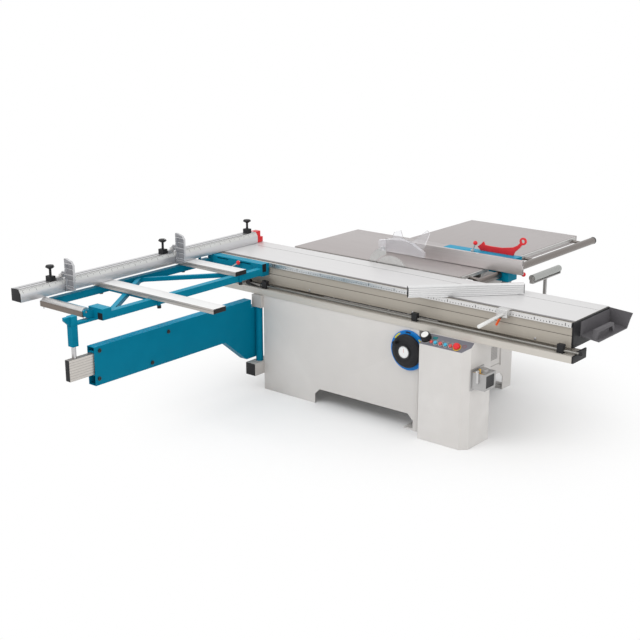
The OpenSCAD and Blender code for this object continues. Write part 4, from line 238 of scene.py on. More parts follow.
# Metal
brass = Paint("brass", (206, 168, 96), shade=0.8, rough=(0.25, 0.4), metal=1.0)
dark_steel = Paint("dark_steel", (74, 72, 70), shade=0.75, rough=(0.35, 0.55), metal=0.8,
                   grain=20)
cast = Paint("inner_steel", (92, 94, 98), shade=0.75, rough=(0.5, 0.7), metal=0.3, relief=0.25,
             fine=240)
rod_metal = Paint("rod_steel", (205, 204, 205), shade=0.84, rough=(0.18, 0.32), metal=1.0,
                  stretch=BRUSH_X, grain=30, fine=240)
rod_dark = Paint("lock_rod_steel", (132, 130, 126), shade=0.84, rough=(0.24, 0.36), metal=0.9,
                 stretch=BRUSH_X, grain=26, fine=240)
bright = Paint("bright_alu", (212, 211, 210), shade=0.86, rough=(0.24, 0.38), metal=0.9,
               grain=14, fine=300)
flag_alu = Paint("flag_alu", (156, 156, 160), shade=0.84, rough=(0.3, 0.45), metal=0.6, grain=14,
                 fine=300)
flag_rim = Paint("flag_rim", (206, 206, 208), shade=0.88, rough=(0.28, 0.42), metal=0.7,
                 grain=14, fine=300)
silver_x = Paint("brushed_alu_x", (206, 201, 200), shade=0.88, rough=(0.28, 0.42), metal=0.85,
                 stretch=BRUSH_X, grain=24, fine=200)
bar_metal = Paint("bar_alu", (238, 238, 238), shade=0.93, rough=(0.34, 0.48), metal=0.3,
                  stretch=BRUSH_X, grain=20, fine=200)
bar_side = Paint("bar_side", (182, 176, 171), shade=0.9, rough=(0.36, 0.5), metal=0.5,
                 stretch=BRUSH_X, grain=20, fine=200)
guide_steel = Paint("guide_steel", (132, 126, 122), shade=0.88, rough=(0.26, 0.36), metal=0.95,
                    stretch=BRUSH_Y, grain=26, fine=260)
trough_steel = Paint("trough_steel", (122, 112, 104), shade=0.86, rough=(0.36, 0.5), metal=0.5,
                     stretch=BRUSH_X, grain=18, fine=180)
roller_steel = Paint("roller_steel", (170, 172, 169), shade=0.86, rough=(0.3, 0.42), metal=0.7,
                     stretch=BRUSH_X, grain=20, fine=240)
table_iron = Paint("table_iron", (178, 171, 170), shade=0.93, rough=(0.3, 0.44), metal=0.6,
                   stretch=BRUSH_X, grain=12, fine=160, relief=0.02)
table_edge = Paint("table_edge", (168, 163, 160), shade=0.88, rough=(0.45, 0.6), metal=0.2,
                   relief=0.12)
sheet_grey = Paint("extension_sheet", (177, 171, 170), shade=0.95, rough=(0.36, 0.5), metal=0.4,
                   stretch=BRUSH_Y, grain=10, fine=120, relief=0.02)
carriage_top = Paint("carriage_top", (219, 218, 218), shade=0.965, rough=(0.36, 0.46), metal=0.3,
                     stretch=BRUSH_X, grain=10, fine=90, relief=0.012)
carriage_side = Paint("carriage_side", (172, 165, 154), shade=0.94, rough=(0.45, 0.58),
                      metal=0.08, stretch=BRUSH_X, grain=12, fine=140, relief=0.02)
beam_alu = Paint("beam_alu", (201, 196, 188), shade=0.92, rough=(0.38, 0.55), metal=0.3,
                 stretch=BRUSH_X, grain=12, fine=140, relief=0.02)
beam_lip = Paint("beam_lip", (206, 200, 192), shade=0.93, rough=(0.4, 0.5), metal=0.3,
                 stretch=BRUSH_X)
support_steel = Paint("support_steel", (172, 170, 168), shade=0.85, rough=(0.4, 0.55), metal=0.5)
tube_steel = Paint("tube_steel", (202, 197, 191), shade=0.9, rough=(0.32, 0.46), metal=0.5,
                   stretch=BRUSH_Y, grain=16, fine=160)
blade_steel = Paint("blade_steel", (212, 211, 209), shade=0.88, rough=(0.26, 0.4), metal=0.85,
                    grain=26)
pump_alu = Paint("pump_alu", (178, 177, 176), shade=0.86, rough=(0.36, 0.52), metal=0.6,
                 relief=0.1, fine=260)
rail_metal = Paint("edge_rail_alu", (222, 221, 220), shade=0.88, rough=(0.22, 0.36), metal=0.85,
                   stretch=BRUSH_X, grain=20, fine=220)
fence_alu = Paint("fence_alu", (211, 211, 213), shade=0.88, rough=(0.28, 0.42), metal=0.85,
                  stretch=BRUSH_Y, grain=20, fine=220)
fence_scale = Paint("fence_scale", (214, 214, 212), shade=0.92, rough=(0.35, 0.5), metal=0.3)
scale_strip = Paint("scale_rail", (206, 205, 203), shade=0.9, rough=(0.3, 0.45), metal=0.6,
                    stretch=BRUSH_Y)
ribbed = Paint("ribbed_alu", (226, 226, 226), shade=0.92, rough=(0.3, 0.44), metal=0.4,
               stretch=BRUSH_X, grain=16, fine=160)


# Marks on the paints, which paint highlight and shade on ribs and shade in grooves and slots:
# lines as (pitch, width, start), bands as (axis, low, high)

# On the flags' ribs a pale line with a dark line next to it: painted highlight and painted shade
FLAG_RIB_HIGHLIGHT = (0.036, 0.005, 0.894)
FLAG_RIB_SHADE = (0.036, 0.003, 0.899)
# Darker lines along the grooves of the telescopic tube and of the mitre fence: painted shade in
# the grooves
TUBE_GROOVE_SHADE = (0.0165, 0.0022, 0.4655)
MITRE_GROOVE_SHADE = (0.0125, 0.0022)
for paint, rows, ink in ((flag_alu, FLAG_RIB_HIGHLIGHT, (206, 206, 208)),
                         (flag_alu, FLAG_RIB_SHADE, (104, 104, 108)),
                         (tube_steel, TUBE_GROOVE_SHADE, (150, 145, 140)),
                         (ribbed, MITRE_GROOVE_SHADE, (170, 170, 172))):
    paint.mark(paint.lines(paint.along("Z"), *rows), ink)

# Darker bands where a groove runs along the support bars' sides and where T-slots run along the
# carriage's top, one by its near edge: painted shade in the groove and slots
BAR_GROOVE_SHADE = ("Z", 0.8765, 0.8795)
CARRIAGE_SLOT_SHADE = ("Y", -0.1683, -0.1640)
CARRIAGE_EDGE_SLOT_SHADE = ("Y", -0.4975, -0.460)
for paint, strip, ink in ((bar_side, BAR_GROOVE_SHADE, (128, 124, 120)),
                          (carriage_top, CARRIAGE_SLOT_SHADE, (98, 97, 97)),
                          (carriage_top, CARRIAGE_EDGE_SLOT_SHADE, (128, 126, 126))):
    paint.mark(paint.band(*strip), ink)

# The black caps in the ends of the crosscut frame's tubes
BRACKET_CAP = (("Y", -0.575, -0.537), ("Z", 0.832, 0.888))
BLOCK_CAP = (("X", -0.690, -0.646), ("Z", 0.816, 0.858))
for paint, (wide, tall) in ((bracket_end, BRACKET_CAP), (block_end, BLOCK_CAP)):
    paint.mark(paint.both(paint.band(*wide), paint.band(*tall)), BLACK_RGB)

# The handwheel's ring, with coloured arcs along its rim
ring_lo, ring_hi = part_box("handwheel_ring")
WHEEL = Vector(((ring_lo[0] + ring_hi[0]) / 2, ring_lo[1], (ring_lo[2] + ring_hi[2]) / 2))
RING_R = (ring_hi[0] - ring_lo[0]) / 2
RIM_FROM, RIM_TO = RING_R - 0.016, RING_R - 0.006
ARC_YELLOW, ARC_BLACK = (216, 206, 40), (30, 30, 34)
ring_turn, ring_radius = blue.polar(WHEEL)
rim = blue.between(ring_radius, RIM_FROM, RIM_TO)
for low, high, ink in ((0.0, 0.13, ARC_YELLOW), (0.335, 0.41, ARC_YELLOW),
                       (0.225, 0.275, ARC_BLACK)):
    blue.mark(blue.both(rim, blue.between(ring_turn, low, high)), ink)

# The handwheel's dial: marks round its face, a red needle and a black rim
DIAL_R, FACE_R = 0.046, 0.037
DIAL_PITCH, DIAL_LINE = 1 / 36, 1 / 150
MARKS_FROM, MARKS_TO = FACE_R - 0.007, FACE_R - 0.002
NEEDLE_HALF, NEEDLE_TAIL, NEEDLE_L = 0.0012, 0.002, FACE_R * 0.6
dial_turn, dial_radius = dial.polar(WHEEL)
dial.mark(dial.both(dial.lines(dial_turn, DIAL_PITCH, DIAL_LINE),
                    dial.between(dial_radius, MARKS_FROM, MARKS_TO)), (120, 122, 126))
dial.mark(dial.both(dial.band("X", WHEEL.x - NEEDLE_HALF, WHEEL.x + NEEDLE_HALF),
                    dial.band("Z", WHEEL.z - NEEDLE_TAIL, WHEEL.z + NEEDLE_L)), (190, 70, 60))
dial.mark(dial.maths("GREATER_THAN", dial_radius, FACE_R), BLACK_RGB)

# The rules on the carriage's edge rail and on the crosscut fence
rail_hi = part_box("edge_rail")[1]
fence_lo, fence_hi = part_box("crosscut_fence")
RAIL_RULE = (rail_hi[2] - 0.022, rail_hi[2] - 0.004)
FENCE_RULE = (fence_hi[0] - 0.018, fence_hi[0] - 0.001)
rail_metal.ruler("X", "Z", *RAIL_RULE, ink=(44, 44, 46), step=0.02)
fence_scale.ruler("Y", "X", *FENCE_RULE)


# Dressing the CAD nodes

WELD_GAP = 1e-5
FLAT_ANGLE = math.radians(0.4)
EDGE_ANGLE = math.radians(40)
# How much of a face's normal lies along an axis: square to it, and closer to it than not
SQUARE, STEEP = 0.9, 0.5
PLANE_GAP = 0.0006
BALL_R = 0.015
BALL_REACH = 0.0153


def dress(name, general, *special, bevel=0.0, merge=True):
    """Gives a node its general paint, and each special paint to the faces that its test picks.

    A test is given a face's centre, normal and corners. With a bevel, edges are rounded, and
    merge first joins the flat faces that meet.
    """
    obj = nodes[name]
    mesh = obj.data
    mesh.materials.clear()
    for paint in [general] + [s[0] for s in special]:
        mesh.materials.append(paint.material)
    for poly in mesh.polygons:
        corners = [mesh.vertices[v].co for v in poly.vertices]
        poly.material_index = 0
        for i, (_, test) in enumerate(special):
            if test(poly.center, poly.normal, corners):
                poly.material_index = i + 1
    if not bevel:
        return
    weld = obj.modifiers.new("weld", "WELD")
    weld.merge_threshold = WELD_GAP
    if merge:
        flat = obj.modifiers.new("flat", "DECIMATE")
        flat.decimate_type = "DISSOLVE"
        flat.angle_limit = FLAT_ANGLE
        flat.delimit = {"MATERIAL"}
    round_edge = obj.modifiers.new("round", "BEVEL")
    round_edge.width = bevel
    round_edge.segments = 3
    round_edge.limit_method = "ANGLE"
    round_edge.angle_limit = EDGE_ANGLE
    round_edge.harden_normals = True
    for poly in mesh.polygons:
        poly.use_smooth = True


def near(axis, value):
    """A test for faces that lie on a plane."""
    i = "xyz".index(axis)
    return lambda c, n, p: abs(c[i] - value) < PLANE_GAP and abs(n[i]) > SQUARE


def beyond(axis, value, sign=1):
    """A test for faces whose centre is past a plane."""
    i = "xyz".index(axis)
    return lambda c, n, p: sign * (c[i] - value) > 0


def ball(x, y, z):
    """A test for faces on the small sphere at the end of a lever."""
    centre = Vector((x, y, z))
    return lambda c, n, p: (c - centre).length < BALL_REACH


def top(c, n, p):
    """A test for faces that look up."""
    return n.z > SQUARE


# Nodes of one paint, with the width of their bevel
for name, paint, bevel in (
        ("trunnion_brackets", cast, 0.0), ("table_supports", support_steel, 0.0015),
        ("extension_table", sheet_grey, 0.002), ("beam_fittings", black, 0.0012),
        ("roller_saddle", support_steel, 0.0), ("handwheel_ring", blue, 0.0),
        ("pump_lever", bright, 0.0012), ("infeed_roller", roller_steel, 0.0),
        ("control_knob", black, 0.0), ("button_1", cyan, 0.0008), ("button_2", key_red, 0.0008),
        ("button_3", cyan, 0.0008), ("button_4", key_red, 0.0008), ("stop_button", red, 0.0),
        ("edge_rail", rail_metal, 0.0), ("end_roller", bright, 0.0),
        ("splinter_block", red, 0.001), ("trunnion", cast, 0.0), ("arbor_slide", cast, 0.0),
        ("main_arbor", rod_metal, 0.0), ("main_blade", blade_steel, 0.0),
        ("riving_knife", blade_steel, 0.0), ("blade_guard", clear, 0.0),
        ("main_motor", motor_paint, 0.0), ("motor_pulley", rod_metal, 0.0),
        ("drive_belt", rubber, 0.0), ("scoring_arbor", blade_steel, 0.0),
        ("lift_screw", rod_metal, 0.0), ("rip_plate", silver_x, 0.0015),
        ("push_stick", red, 0.002)):
    dress(name, paint, bevel=bevel)

# Cabinet and service door, whose louvre is what lies within its margins
CABINET_END = -0.647
LOUVRE_Z, LOUVRE_Y0, LOUVRE_Y1 = 0.02, 0.01, 0.03
door_lo, door_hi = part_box("service_door")
dress("cabinet", cabinet_paint, (support_steel, beyond("x", CABINET_END, -1)), bevel=0.0025,
      merge=False)
dress("service_door", cabinet_paint,
      (louvre_grey, lambda c, n, p: abs(n.x) < STEEP
       and door_lo[2] + LOUVRE_Z < c.z < door_hi[2] - LOUVRE_Z
       and door_lo[1] + LOUVRE_Y0 < c.y < door_hi[1] - LOUVRE_Y1))

# Main table, and the guide bar with its scale rail and end cap
CAP_L = 0.0115
SCALE_OUT, SCALE_SHORT = 0.021, 0.02
table_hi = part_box("main_table")[1]
guide_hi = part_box("guide_bar")[1]
TABLE_TOP = table_hi[2]
dress("main_table", table_edge, (table_iron, near("z", TABLE_TOP)), bevel=0.002)
dress("guide_bar", guide_steel,
      (scale_strip, lambda c, n, p: c.x < table_hi[0] + SCALE_OUT
       and c.y < guide_hi[1] - SCALE_SHORT),
      (black, beyond("y", guide_hi[1] - CAP_L)))

# Beam with its lower lip, and the lock rod with its grip and end
LIP_H = 0.004
ROD_GRIP, ROD_END = 0.09, 0.04
beam_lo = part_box("beam")[0]
rod_lo, rod_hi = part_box("lock_rod")
dress("beam", beam_alu,
      (beam_lip, lambda c, n, p: c.z < beam_lo[2] + LIP_H and n.z < STEEP))
dress("lock_rod", rod_dark,
      (black, lambda c, n, p: c.x < rod_lo[0] + ROD_GRIP or c.x > rod_hi[0] - ROD_END))

# Control box with its sloped panel, handwheel with its dial and shaft, oil pump with its sight
# glass and filler
SLOPED = 0.3
DIAL_STAND, DIAL_SLACK, SHAFT_FROM = 0.036, 0.0004, 0.004
GLASS_FROM, GLASS_TO = 0.02, 0.001
FILLER_H, FILLER_W = 0.0262, 0.045
box_lo, box_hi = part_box("control_box")
pump_lo, pump_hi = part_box("oil_pump")
dress("control_box", cabinet_paint,
      (panel_grey, lambda c, n, p: n.z > STEEP and n.y < -SLOPED), bevel=0.003)
dress("handwheel", black,
      (dial, lambda c, n, p: c.y < WHEEL.y - DIAL_STAND
       and all(math.hypot(v.x - WHEEL.x, v.z - WHEEL.z) < DIAL_R + DIAL_SLACK for v in p)),
      (rod_metal, beyond("y", WHEEL.y + SHAFT_FROM)))
dress("oil_pump", pump_alu,
      (window, lambda c, n, p: n.x > SQUARE
       and pump_hi[0] - GLASS_FROM < c.x < pump_hi[0] - GLASS_TO),
      (brass, lambda c, n, p: all(v.z > pump_hi[2] - FILLER_H and v.y < pump_lo[1] + FILLER_W
                                  for v in p)), bevel=0.0015)

# Carriage with the grooves in its side, its end plates, push handle and clamp lever
GROOVE_FROM, GROOVE_TO = 0.0005, 0.012
PLATE_T = 0.012
GRIP_L, LEVER_TIP = 0.11, 0.016
car_lo, car_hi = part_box("carriage")
handle_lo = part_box("push_handle")[0]
push_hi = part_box("push_lever")[1]
dress("carriage", carriage_side, (carriage_top, near("z", TABLE_TOP)),
      (groove_dark, lambda c, n, p: car_lo[1] + GROOVE_FROM < c.y < car_lo[1] + GROOVE_TO),
      bevel=0.0012)
dress("carriage_ends", tray_grey, (black, beyond("x", car_hi[0] + PLATE_T, -1)), bevel=0.0015)
dress("push_handle", bright, (white, beyond("y", handle_lo[1] + GRIP_L, -1)), bevel=0.0015)
dress("push_lever", orange, (black, beyond("z", push_hi[2] - LEVER_TIP)))

# Mitre fence, which stands turned on the carriage, with black caps at both ends
MITRE_AT, MITRE_TURN = Vector((0.765, -0.488, 0)), math.radians(45.7)
MITRE_RUN = Vector((math.cos(MITRE_TURN), math.sin(MITRE_TURN), 0))
MITRE_CAP = 0.0045


def on_mitre(point):
    """How far along the mitre fence a point is."""
    return (point - MITRE_AT).dot(MITRE_RUN)


mitre_spots = [on_mitre(v.co) for v in nodes["mitre_fence"].data.vertices]
mitre_from, mitre_to = min(mitre_spots) + MITRE_CAP, max(mitre_spots) - MITRE_CAP
dress("mitre_fence", ribbed, (black, lambda c, n, p: not mitre_from < on_mitre(c) < mitre_to),
      bevel=0.001)

# Crosscut frame with its inner bracket and end block, ball lever and support bars with clamps
TUBE_END, BRACKET_FROM = -1.9903, -0.585
BAR_CAP = 0.0125
CLAMP_LOW, CLAMP_TOP = 0.8142, 0.8595
lever_lo, lever_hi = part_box("ball_lever")
# The frame's upward faces are painted a lighter teal as if lit
dress("crosscut_frame", teal, (teal_frame_lit_top, top),
      (bracket_end, lambda c, n, p: n.x > SQUARE and all(v.y > BRACKET_FROM for v in p)),
      (block_end, near("y", TUBE_END)), bevel=0.002)
dress("ball_lever", rod_metal,
      (red, ball(lever_hi[0] - BALL_R, lever_lo[1] + BALL_R, lever_hi[2] - BALL_R)))
for bar in ("support_bar_1", "support_bar_2"):
    bar_from, bar_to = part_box(bar)[0][0] + BAR_CAP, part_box(bar)[1][0] - BAR_CAP
    dress(bar, bar_metal,
          (black, lambda c, n, p: c.x < bar_from or c.x > bar_to or c.z < CLAMP_LOW),
          (teal, lambda c, n, p: CLAMP_LOW < c.z < CLAMP_TOP),
          (bar_side, lambda c, n, p: abs(n.z) < STEEP and bar_from < c.x < bar_to
           and c.z > CLAMP_TOP), bevel=0.0015)

# Crosscut fence with grooves, rule, knob and end cap, and its stops with flags
FENCE_TOP = fence_lo[2] + 0.0775
SLOT_FROM, SLOT_TO = FENCE_TOP - 0.012, FENCE_TOP - 0.0015
SLOT_X0, SLOT_X1 = fence_lo[0] + 0.02, fence_hi[0] - 0.0185
CHAMFER = 0.2
FENCE_CAP = 0.0105
STOP_BODY = 0.0405
dress("crosscut_fence", fence_alu,
      (groove_dark, lambda c, n, p: SLOT_FROM < c.z < SLOT_TO and SLOT_X0 < c.x < SLOT_X1),
      (fence_scale, lambda c, n, p: n.z > CHAMFER and n.x > CHAMFER),
      (black, lambda c, n, p: c.y < fence_lo[1] + FENCE_CAP or c.z > FENCE_TOP), bevel=0.0012)
for stop, flag in (("stop_1", "flag_1"), ("stop_2", "flag_2")):
    dress(stop, black, (bright, beyond("y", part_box(stop)[0][1] + STOP_BODY)))
    dress(flag, flag_alu, (flag_rim, lambda c, n, p: abs(n.y) < STEEP), bevel=0.0012)

# Swing arm, its brackets, the telescopic tube and the post on its rod
ARM_TOP = 0.2
POST_ROD = 0.0165
bracket_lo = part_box("arm_brackets")[0]
arm_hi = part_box("swing_arm")[1]
tube_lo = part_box("telescopic_tube")[0]
post_lo, post_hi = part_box("post")
POST_X, POST_Y = (post_lo[0] + post_hi[0]) / 2, (post_lo[1] + post_hi[1]) / 2
dress("arm_brackets", bracket_grey, (black, beyond("y", bracket_lo[1] + CAP_L, -1)),
      bevel=0.0012)
# The swing arm's upward faces near its top are painted a lighter teal as if lit
dress("swing_arm", teal,
      (teal_lit_top, lambda c, n, p: n.z > SQUARE and c.z > arm_hi[2] - ARM_TOP), bevel=0.0025)
dress("telescopic_tube", tube_steel, (black, beyond("y", tube_lo[1] + CAP_L, -1)), bevel=0.0015)
dress("post", teal,
      (rod_metal, lambda c, n, p: math.hypot(c.x - POST_X, c.y - POST_Y) < POST_ROD
       and abs(n.z) < STEEP), bevel=0.0015)

# Rip fence and its two levers
rip_lo, rip_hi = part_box("rip_lever")
lock_lo, lock_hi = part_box("rip_lock")
# The rip body's upward faces are painted a lighter teal as if lit
dress("rip_body", teal, (teal_lit_top, top), bevel=0.0025)
dress("rip_lever", bright, (red, ball(rip_hi[0] - BALL_R, (rip_lo[1] + rip_hi[1]) / 2,
                                      rip_hi[2] - BALL_R)))
dress("rip_lock", dark_steel, (red, ball(lock_hi[0] - BALL_R, (lock_lo[1] + lock_hi[1]) / 2,
                                         lock_lo[2] + BALL_R)))


# Pieces of the scene

ON_AXIS = 1e-7


def piece(name, mesh_maker, paint, body, place=Matrix.Identity(4), bevel=0.0):
    """A mesh object in the shared frame that moves with a body."""
    bm = bmesh.new()
    mesh_maker(bm)
    bmesh.ops.transform(bm, matrix=place, verts=bm.verts)
    bmesh.ops.recalc_face_normals(bm, faces=bm.faces)
    mesh = bpy.data.meshes.new(name)
    bm.to_mesh(mesh)
    bm.free()
    obj = bpy.data.objects.new(name, mesh)
    scene.collection.objects.link(obj)
    mesh.materials.append(paint.material)
    for poly in mesh.polygons:
        poly.use_smooth = True
    mesh.set_sharp_from_angle(angle=EDGE_ANGLE)
    if bevel:
        m = obj.modifiers.new("round", "BEVEL")
        m.width = bevel
        m.segments = 2
        m.limit_method = "ANGLE"
        m.angle_limit = EDGE_ANGLE
    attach(obj, body)


def lathe(profile, steps=32):
    """A shape turned about Z from (radius, height) points."""
    turns = [2 * math.pi * k / steps for k in range(steps)]

    def make(bm):
        rings = []
        for r, z in profile:
            if r < ON_AXIS:
                rings.append([bm.verts.new((0, 0, z))] * steps)
            else:
                rings.append([bm.verts.new((r * math.cos(a), r * math.sin(a), z))
                              for a in turns])
        for a, b in zip(rings, rings[1:]):
            for k in range(steps):
                corners = [a[k], a[(k + 1) % steps], b[(k + 1) % steps], b[k]]
                unique = list(dict.fromkeys(corners))
                if len(unique) > 2:
                    bm.faces.new(unique)
    return make


def prism(start, end):
    """A solid between two outlines of as many points."""
    def make(bm):
        a = [bm.verts.new(point) for point in start]
        b = [bm.verts.new(point) for point in end]
        bm.faces.new(a[::-1])
        bm.faces.new(b)
        for k in range(len(a)):
            j = (k + 1) % len(a)
            bm.faces.new((a[k], a[j], b[j], b[k]))
    return make


def slab(outline, low, high):
    """A plate with that outline in X and Y, between two heights."""
    return prism([(x, y, low) for x, y in outline], [(x, y, high) for x, y in outline])


def together(*makers):
    """Several shapes in one mesh."""
    def make(bm):
        for m in makers:
            m(bm)
    return make


def rounded(w, h, r, steps=6):
    """A rectangle with round corners, centred on the origin."""
    points = []
    x, y = w / 2 - r, h / 2 - r
    for quarter, (cx, cy) in enumerate(((x, y), (-x, y), (-x, -y), (x, -y))):
        for k in range(steps + 1):
            a = math.radians(90 * quarter + 90 * k / steps)
            points.append((cx + r * math.cos(a), cy + r * math.sin(a)))
    return points


def facing(origin, out, up=(0, 0, 1)):
    """A place with Z along out and Y near up."""
    z = Vector(out).normalized()
    x = Vector(up).cross(z).normalized()
    y = z.cross(x)
    m = Matrix((x, y, z)).transposed().to_4x4()
    m.translation = Vector(origin)
    return m


def bolt(d, h):
    """A round socket-head screw with a washer and a round recess."""
    r = d / 2
    return lathe([(0, 0), (1.5 * r, 0), (1.5 * r, 0.18 * h), (r, 0.22 * h), (r, 0.92 * h),
                  (0.9 * r, h), (0.55 * r, h), (0.5 * r, 0.6 * h), (0, 0.6 * h)], steps=24)


# Bolts along the carriage's side and on the arm's face, each of a diameter and a height
CARRIAGE_BOLT, ARM_BOLT = (0.0115, 0.007), (0.018, 0.008)
CARRIAGE_BOLTS_X = (-0.299, 0.539, 1.408, 1.599)
CARRIAGE_BOLTS_Z = 0.748
ARM_FACE = -0.710
ARM_BOLTS = ((-1.973, 0.612), (-1.985, 0.437), (-1.404, 0.597), (-1.551, 0.427))
for i, x in enumerate(CARRIAGE_BOLTS_X):
    piece("carriage_bolt_%d" % (i + 1), bolt(*CARRIAGE_BOLT), rod_metal, "sliding_carriage",
          facing((x, car_lo[1], CARRIAGE_BOLTS_Z), (0, -1, 0)))
for i, (y, z) in enumerate(ARM_BOLTS):
    piece("arm_bolt_%d" % (i + 1), bolt(*ARM_BOLT), dark_steel, "arm",
          facing((ARM_FACE, y, z), (1, 0, 0)))

# The trough under the end roller: a sheet folded along X from ear to ear, its front wall leaning
# out, with two screws under it. The section is in Y and Z from the roller's axis.
TROUGH_IN, TROUGH_DROP = 0.0035, -0.0285
TROUGH_SECTION = ((-0.0295, 0.006), (-0.0285, TROUGH_DROP), (0.016, TROUGH_DROP),
                  (0.016, -0.0270), (-0.0270, -0.0270), (-0.0280, 0.006))
SCREW_IN, SCREW_Y = 0.012, -0.012
SCREW = ((0, 0), (0.007, 0), (0.007, 0.004), (0.0035, 0.0045), (0.0035, 0.016), (0.0025, 0.017),
         (0, 0.017))
roll_lo, roll_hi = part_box("end_roller")
ROLL_Y, ROLL_Z = (roll_lo[1] + roll_hi[1]) / 2, (roll_lo[2] + roll_hi[2]) / 2
trough_ends = (roll_lo[0] + TROUGH_IN, roll_hi[0] - TROUGH_IN)
piece("roller_trough",
      prism(*[[(x, ROLL_Y + y, ROLL_Z + z) for y, z in TROUGH_SECTION] for x in trough_ends]),
      trough_steel, "crosscut_table", bevel=0.0004)
for i, x in enumerate((trough_ends[0] + SCREW_IN, trough_ends[1] - SCREW_IN)):
    piece("trough_screw_%d" % (i + 1), lathe(SCREW, steps=20), rod_metal, "crosscut_table",
          facing((x, ROLL_Y + SCREW_Y, ROLL_Z + TROUGH_DROP), (0, 0, -1), (0, 1, 0)))

# The sloped panel, and the places on it
PANEL_L, PANEL_RUN, PANEL_RISE, PANEL_LOW = 0.346, 0.075, 0.052, 0.620
TOP_GAP = 0.0001
slope = math.atan2(PANEL_RISE, PANEL_RUN)
panel_out = Vector((0, -math.sin(slope), math.cos(slope)))
panel_up = Vector((0, math.cos(slope), math.sin(slope)))


def panel_base(node):
    """The point on the panel's face under a control."""
    corners = [v.co for v in nodes[node].data.vertices]
    high = max(v.dot(panel_out) for v in corners)
    face = [v for v in corners if v.dot(panel_out) > high - TOP_GAP]
    mid = Vector([(min(v[i] for v in face) + max(v[i] for v in face)) / 2 for i in range(3)])
    low_edge = Vector((box_lo[0], box_lo[1], PANEL_LOW))
    return mid - panel_out * (mid - low_edge).dot(panel_out)


def on_panel(node, up=0.0, lift=0.0):
    """A place at a control, moved up the slope and off the panel, with Z out of the panel."""
    return facing(panel_base(node) + panel_up * up + panel_out * lift, panel_out, panel_up)


def panel_place(along, up):
    """A place on the panel at shares of its length and slope, with Z out of the panel."""
    at = Vector((box_hi[0] - PANEL_L + PANEL_L * along, box_lo[1] + PANEL_RUN * up,
                 PANEL_LOW + PANEL_RISE * up))
    return facing(at, panel_out, panel_up)


# Each button's bezel and its blank label plate
BEZEL = ((0.0118, 0), (0.0155, 0), (0.0155, 0.0025), (0.0145, 0.004), (0.0125, 0.004),
         (0.0118, 0.003), (0.0118, 0))
LABEL, LABEL_T, LABEL_UP = rounded(0.02, 0.009, 0.002), 0.0006, 0.026
for i, key in enumerate(("button_1", "button_2", "button_3", "button_4")):
    piece("bezel_%d" % (i + 1), lathe(BEZEL), bright, "base", on_panel(key))
    piece("label_%d" % (i + 1), slab(LABEL, 0, LABEL_T), louvre_grey, "base",
          on_panel(key, LABEL_UP))


def collar(inner, outer):
    """A low ring round a control."""
    return lathe([(inner, 0), (outer, 0), (outer, 0.002), (outer - 0.0008, 0.003),
                  (inner + 0.0005, 0.003), (inner, 0.0022), (inner, 0)], steps=48)


# The stop button's collar, the knob's base ring and the pale cap on the knob's top face
STOP_COLLAR, KNOB_RING = (0.0226, 0.0258), (0.0345, 0.0368)
KNOB_CAP = ((0, 0), (0.0235, 0), (0.0235, 0.0015), (0.021, 0.0032), (0.012, 0.0042), (0, 0.0045))
knob_base = panel_base("control_knob")
knob_h = max((v.co - knob_base).dot(panel_out) for v in nodes["control_knob"].data.vertices)
piece("stop_collar", collar(*STOP_COLLAR), yellow, "base",
      on_panel("stop_button"))
piece("knob_ring", collar(*KNOB_RING), bright, "base",
      on_panel("control_knob"))
piece("knob_cap", lathe(KNOB_CAP, steps=48), white, "knob",
      on_panel("control_knob", lift=knob_h))

# A red lamp, a small display and a ring mark, each at a place on the panel
LAMP_AT, DISPLAY_AT, MARK_AT = (0.205, 0.334), (0.236, 0.70), (0.86, 0.55)
LAMP = ((0, 0), (0.0105, 0), (0.0105, 0.003), (0.0095, 0.0035), (0.009, 0.006), (0.006, 0.0085),
        (0, 0.009))
DISPLAY_FRAME = (rounded(0.032, 0.02, 0.003), 0, 0.0015)
DISPLAY_FACE = (rounded(0.027, 0.015, 0.002), 0.001, 0.0024)
RING_MARK = ((0.010, 0), (0.0125, 0), (0.0125, 0.0006), (0.010, 0.0006), (0.010, 0))
piece("lamp_red", lathe(LAMP), key_red, "base", panel_place(*LAMP_AT))
piece("display", together(slab(*DISPLAY_FRAME), slab(*DISPLAY_FACE)), display, "base",
      panel_place(*DISPLAY_AT))
piece("ring_mark", lathe(RING_MARK, steps=40), mark_red, "base",
      panel_place(*MARK_AT))


# Floor, light and camera

WHITE = (1, 1, 1, 1)
FLOOR_HALF, FLOOR_Z = 60, -0.001
MIDDLE = (0.25, -0.25)
FADE = {"From Min": 0.5, "From Max": 1.9, "To Min": 0.02, "To Max": 1.0}

# Away from the machine the floor turns into the white of the backdrop; near it the floor is lit
# and shaded
ground_paint = Paint("floor_white", (246, 246, 246), shade=0.99, rough=(0.7, 0.8), relief=0.0,
                     specular=0.0)
glow = ground_paint.node("ShaderNodeEmission", {"Color": WHITE, "Strength": 1.0})
reach = ground_paint.length(ground_paint.along("X", MIDDLE[0]),
                            ground_paint.along("Y", MIDDLE[1]))
fade = ground_paint.node("ShaderNodeMapRange", FADE)
fade.interpolation_type = "SMOOTHSTEP"
ground_paint.join(reach, fade.inputs["Value"])
floor_path = ground_paint.node("ShaderNodeLightPath").outputs
floor_rays = ground_paint.maths("MAXIMUM", floor_path["Is Camera Ray"],
                                ground_paint.maths("MAXIMUM", floor_path["Is Glossy Ray"],
                                                   floor_path["Is Transmission Ray"]))
floor_mix = ground_paint.node("ShaderNodeMixShader")
ground_paint.join(ground_paint.both(floor_rays, fade.outputs["Result"]), floor_mix.inputs["Fac"])
ground_paint.join(ground_paint.shader.outputs["BSDF"], floor_mix.inputs[1])
ground_paint.join(glow.outputs["Emission"], floor_mix.inputs[2])
ground_paint.join(floor_mix.outputs["Shader"], ground_paint.out.inputs["Surface"])

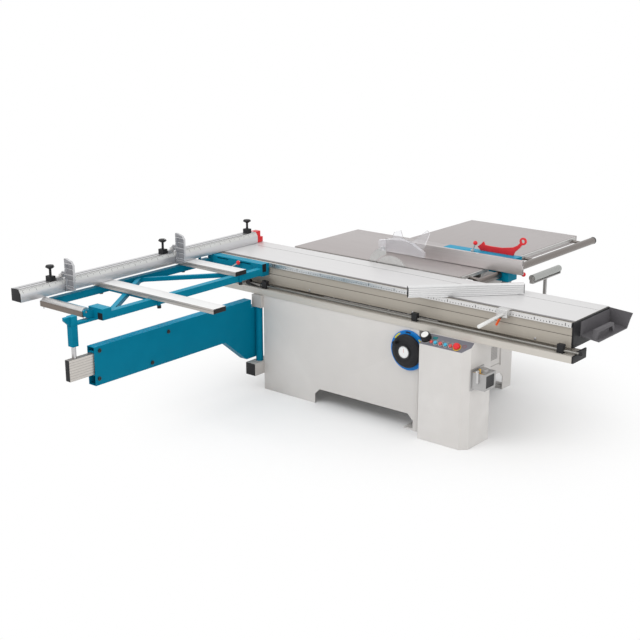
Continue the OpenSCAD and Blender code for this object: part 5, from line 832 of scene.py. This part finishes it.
floor_mesh = bpy.data.meshes.new("floor")
floor_mesh.from_pydata([(FLOOR_HALF * x, FLOOR_HALF * y, 0)
                        for x, y in ((-1, -1), (1, -1), (1, 1), (-1, 1))], [], [(0, 1, 2, 3)])
floor_mesh.materials.append(ground_paint.material)
ground = bpy.data.objects.new("floor", floor_mesh)
ground.location.z = FLOOR_Z
scene.collection.objects.link(ground)

# The backdrop is white to the eye and lights the part a little less
SEEN_STRENGTH, LIT_STRENGTH = 1.0, 0.88
world = bpy.data.worlds.new("studio")
world.use_nodes = True
scene.world = world
sky = world.node_tree
sky.nodes.clear()
sky_out = sky.nodes.new("ShaderNodeOutputWorld")
path = sky.nodes.new("ShaderNodeLightPath")
sky_mix = sky.nodes.new("ShaderNodeMixShader")
for socket, strength in ((1, LIT_STRENGTH), (2, SEEN_STRENGTH)):
    background = sky.nodes.new("ShaderNodeBackground")
    background.inputs["Color"].default_value = WHITE
    background.inputs["Strength"].default_value = strength
    sky.links.new(background.outputs["Background"], sky_mix.inputs[socket])
rays = path.outputs["Is Camera Ray"]
for kind in ("Is Glossy Ray", "Is Transmission Ray"):
    either = sky.nodes.new("ShaderNodeMath")
    either.operation = "MAXIMUM"
    sky.links.new(rays, either.inputs[0])
    sky.links.new(path.outputs[kind], either.inputs[1])
    rays = either.outputs[0]
sky.links.new(rays, sky_mix.inputs["Fac"])
sky.links.new(sky_mix.outputs["Shader"], sky_out.inputs["Surface"])

LAMP_UP = (0, 1, 0.01)


def lamp(name, place, target, size, power):
    """A rectangular area light at a place, turned to a target."""
    data = bpy.data.lights.new(name, "AREA")
    data.shape = "RECTANGLE"
    data.size, data.size_y = size
    data.energy = power
    obj = bpy.data.objects.new(name, data)
    obj.matrix_world = facing(place, Vector(place) - Vector(target), LAMP_UP)
    scene.collection.objects.link(obj)


lamp("key", place=(-1.0, -5.0, 6.0), target=(0, -0.3, 0.5), size=(5, 4), power=150)
lamp("fill", place=(6.5, -1.2, 1.9), target=(0.3, 0, 0.5), size=(4, 3), power=50)

# The camera, looking down by its pitch and turned by its yaw, as fitted to the photo
PITCH, YAW = 0.286, 0.686
eye = bpy.data.cameras.new("camera")
eye.lens = 68.07
eye.sensor_width = 36
eye.clip_end = 200
camera = bpy.data.objects.new("camera", eye)
camera.location = (4.697, -6.489, 2.838)
camera.rotation_euler = (math.pi / 2 - PITCH, 0, YAW)
scene.collection.objects.link(camera)
scene.camera = camera
scene.view_settings.view_transform = "Standard"
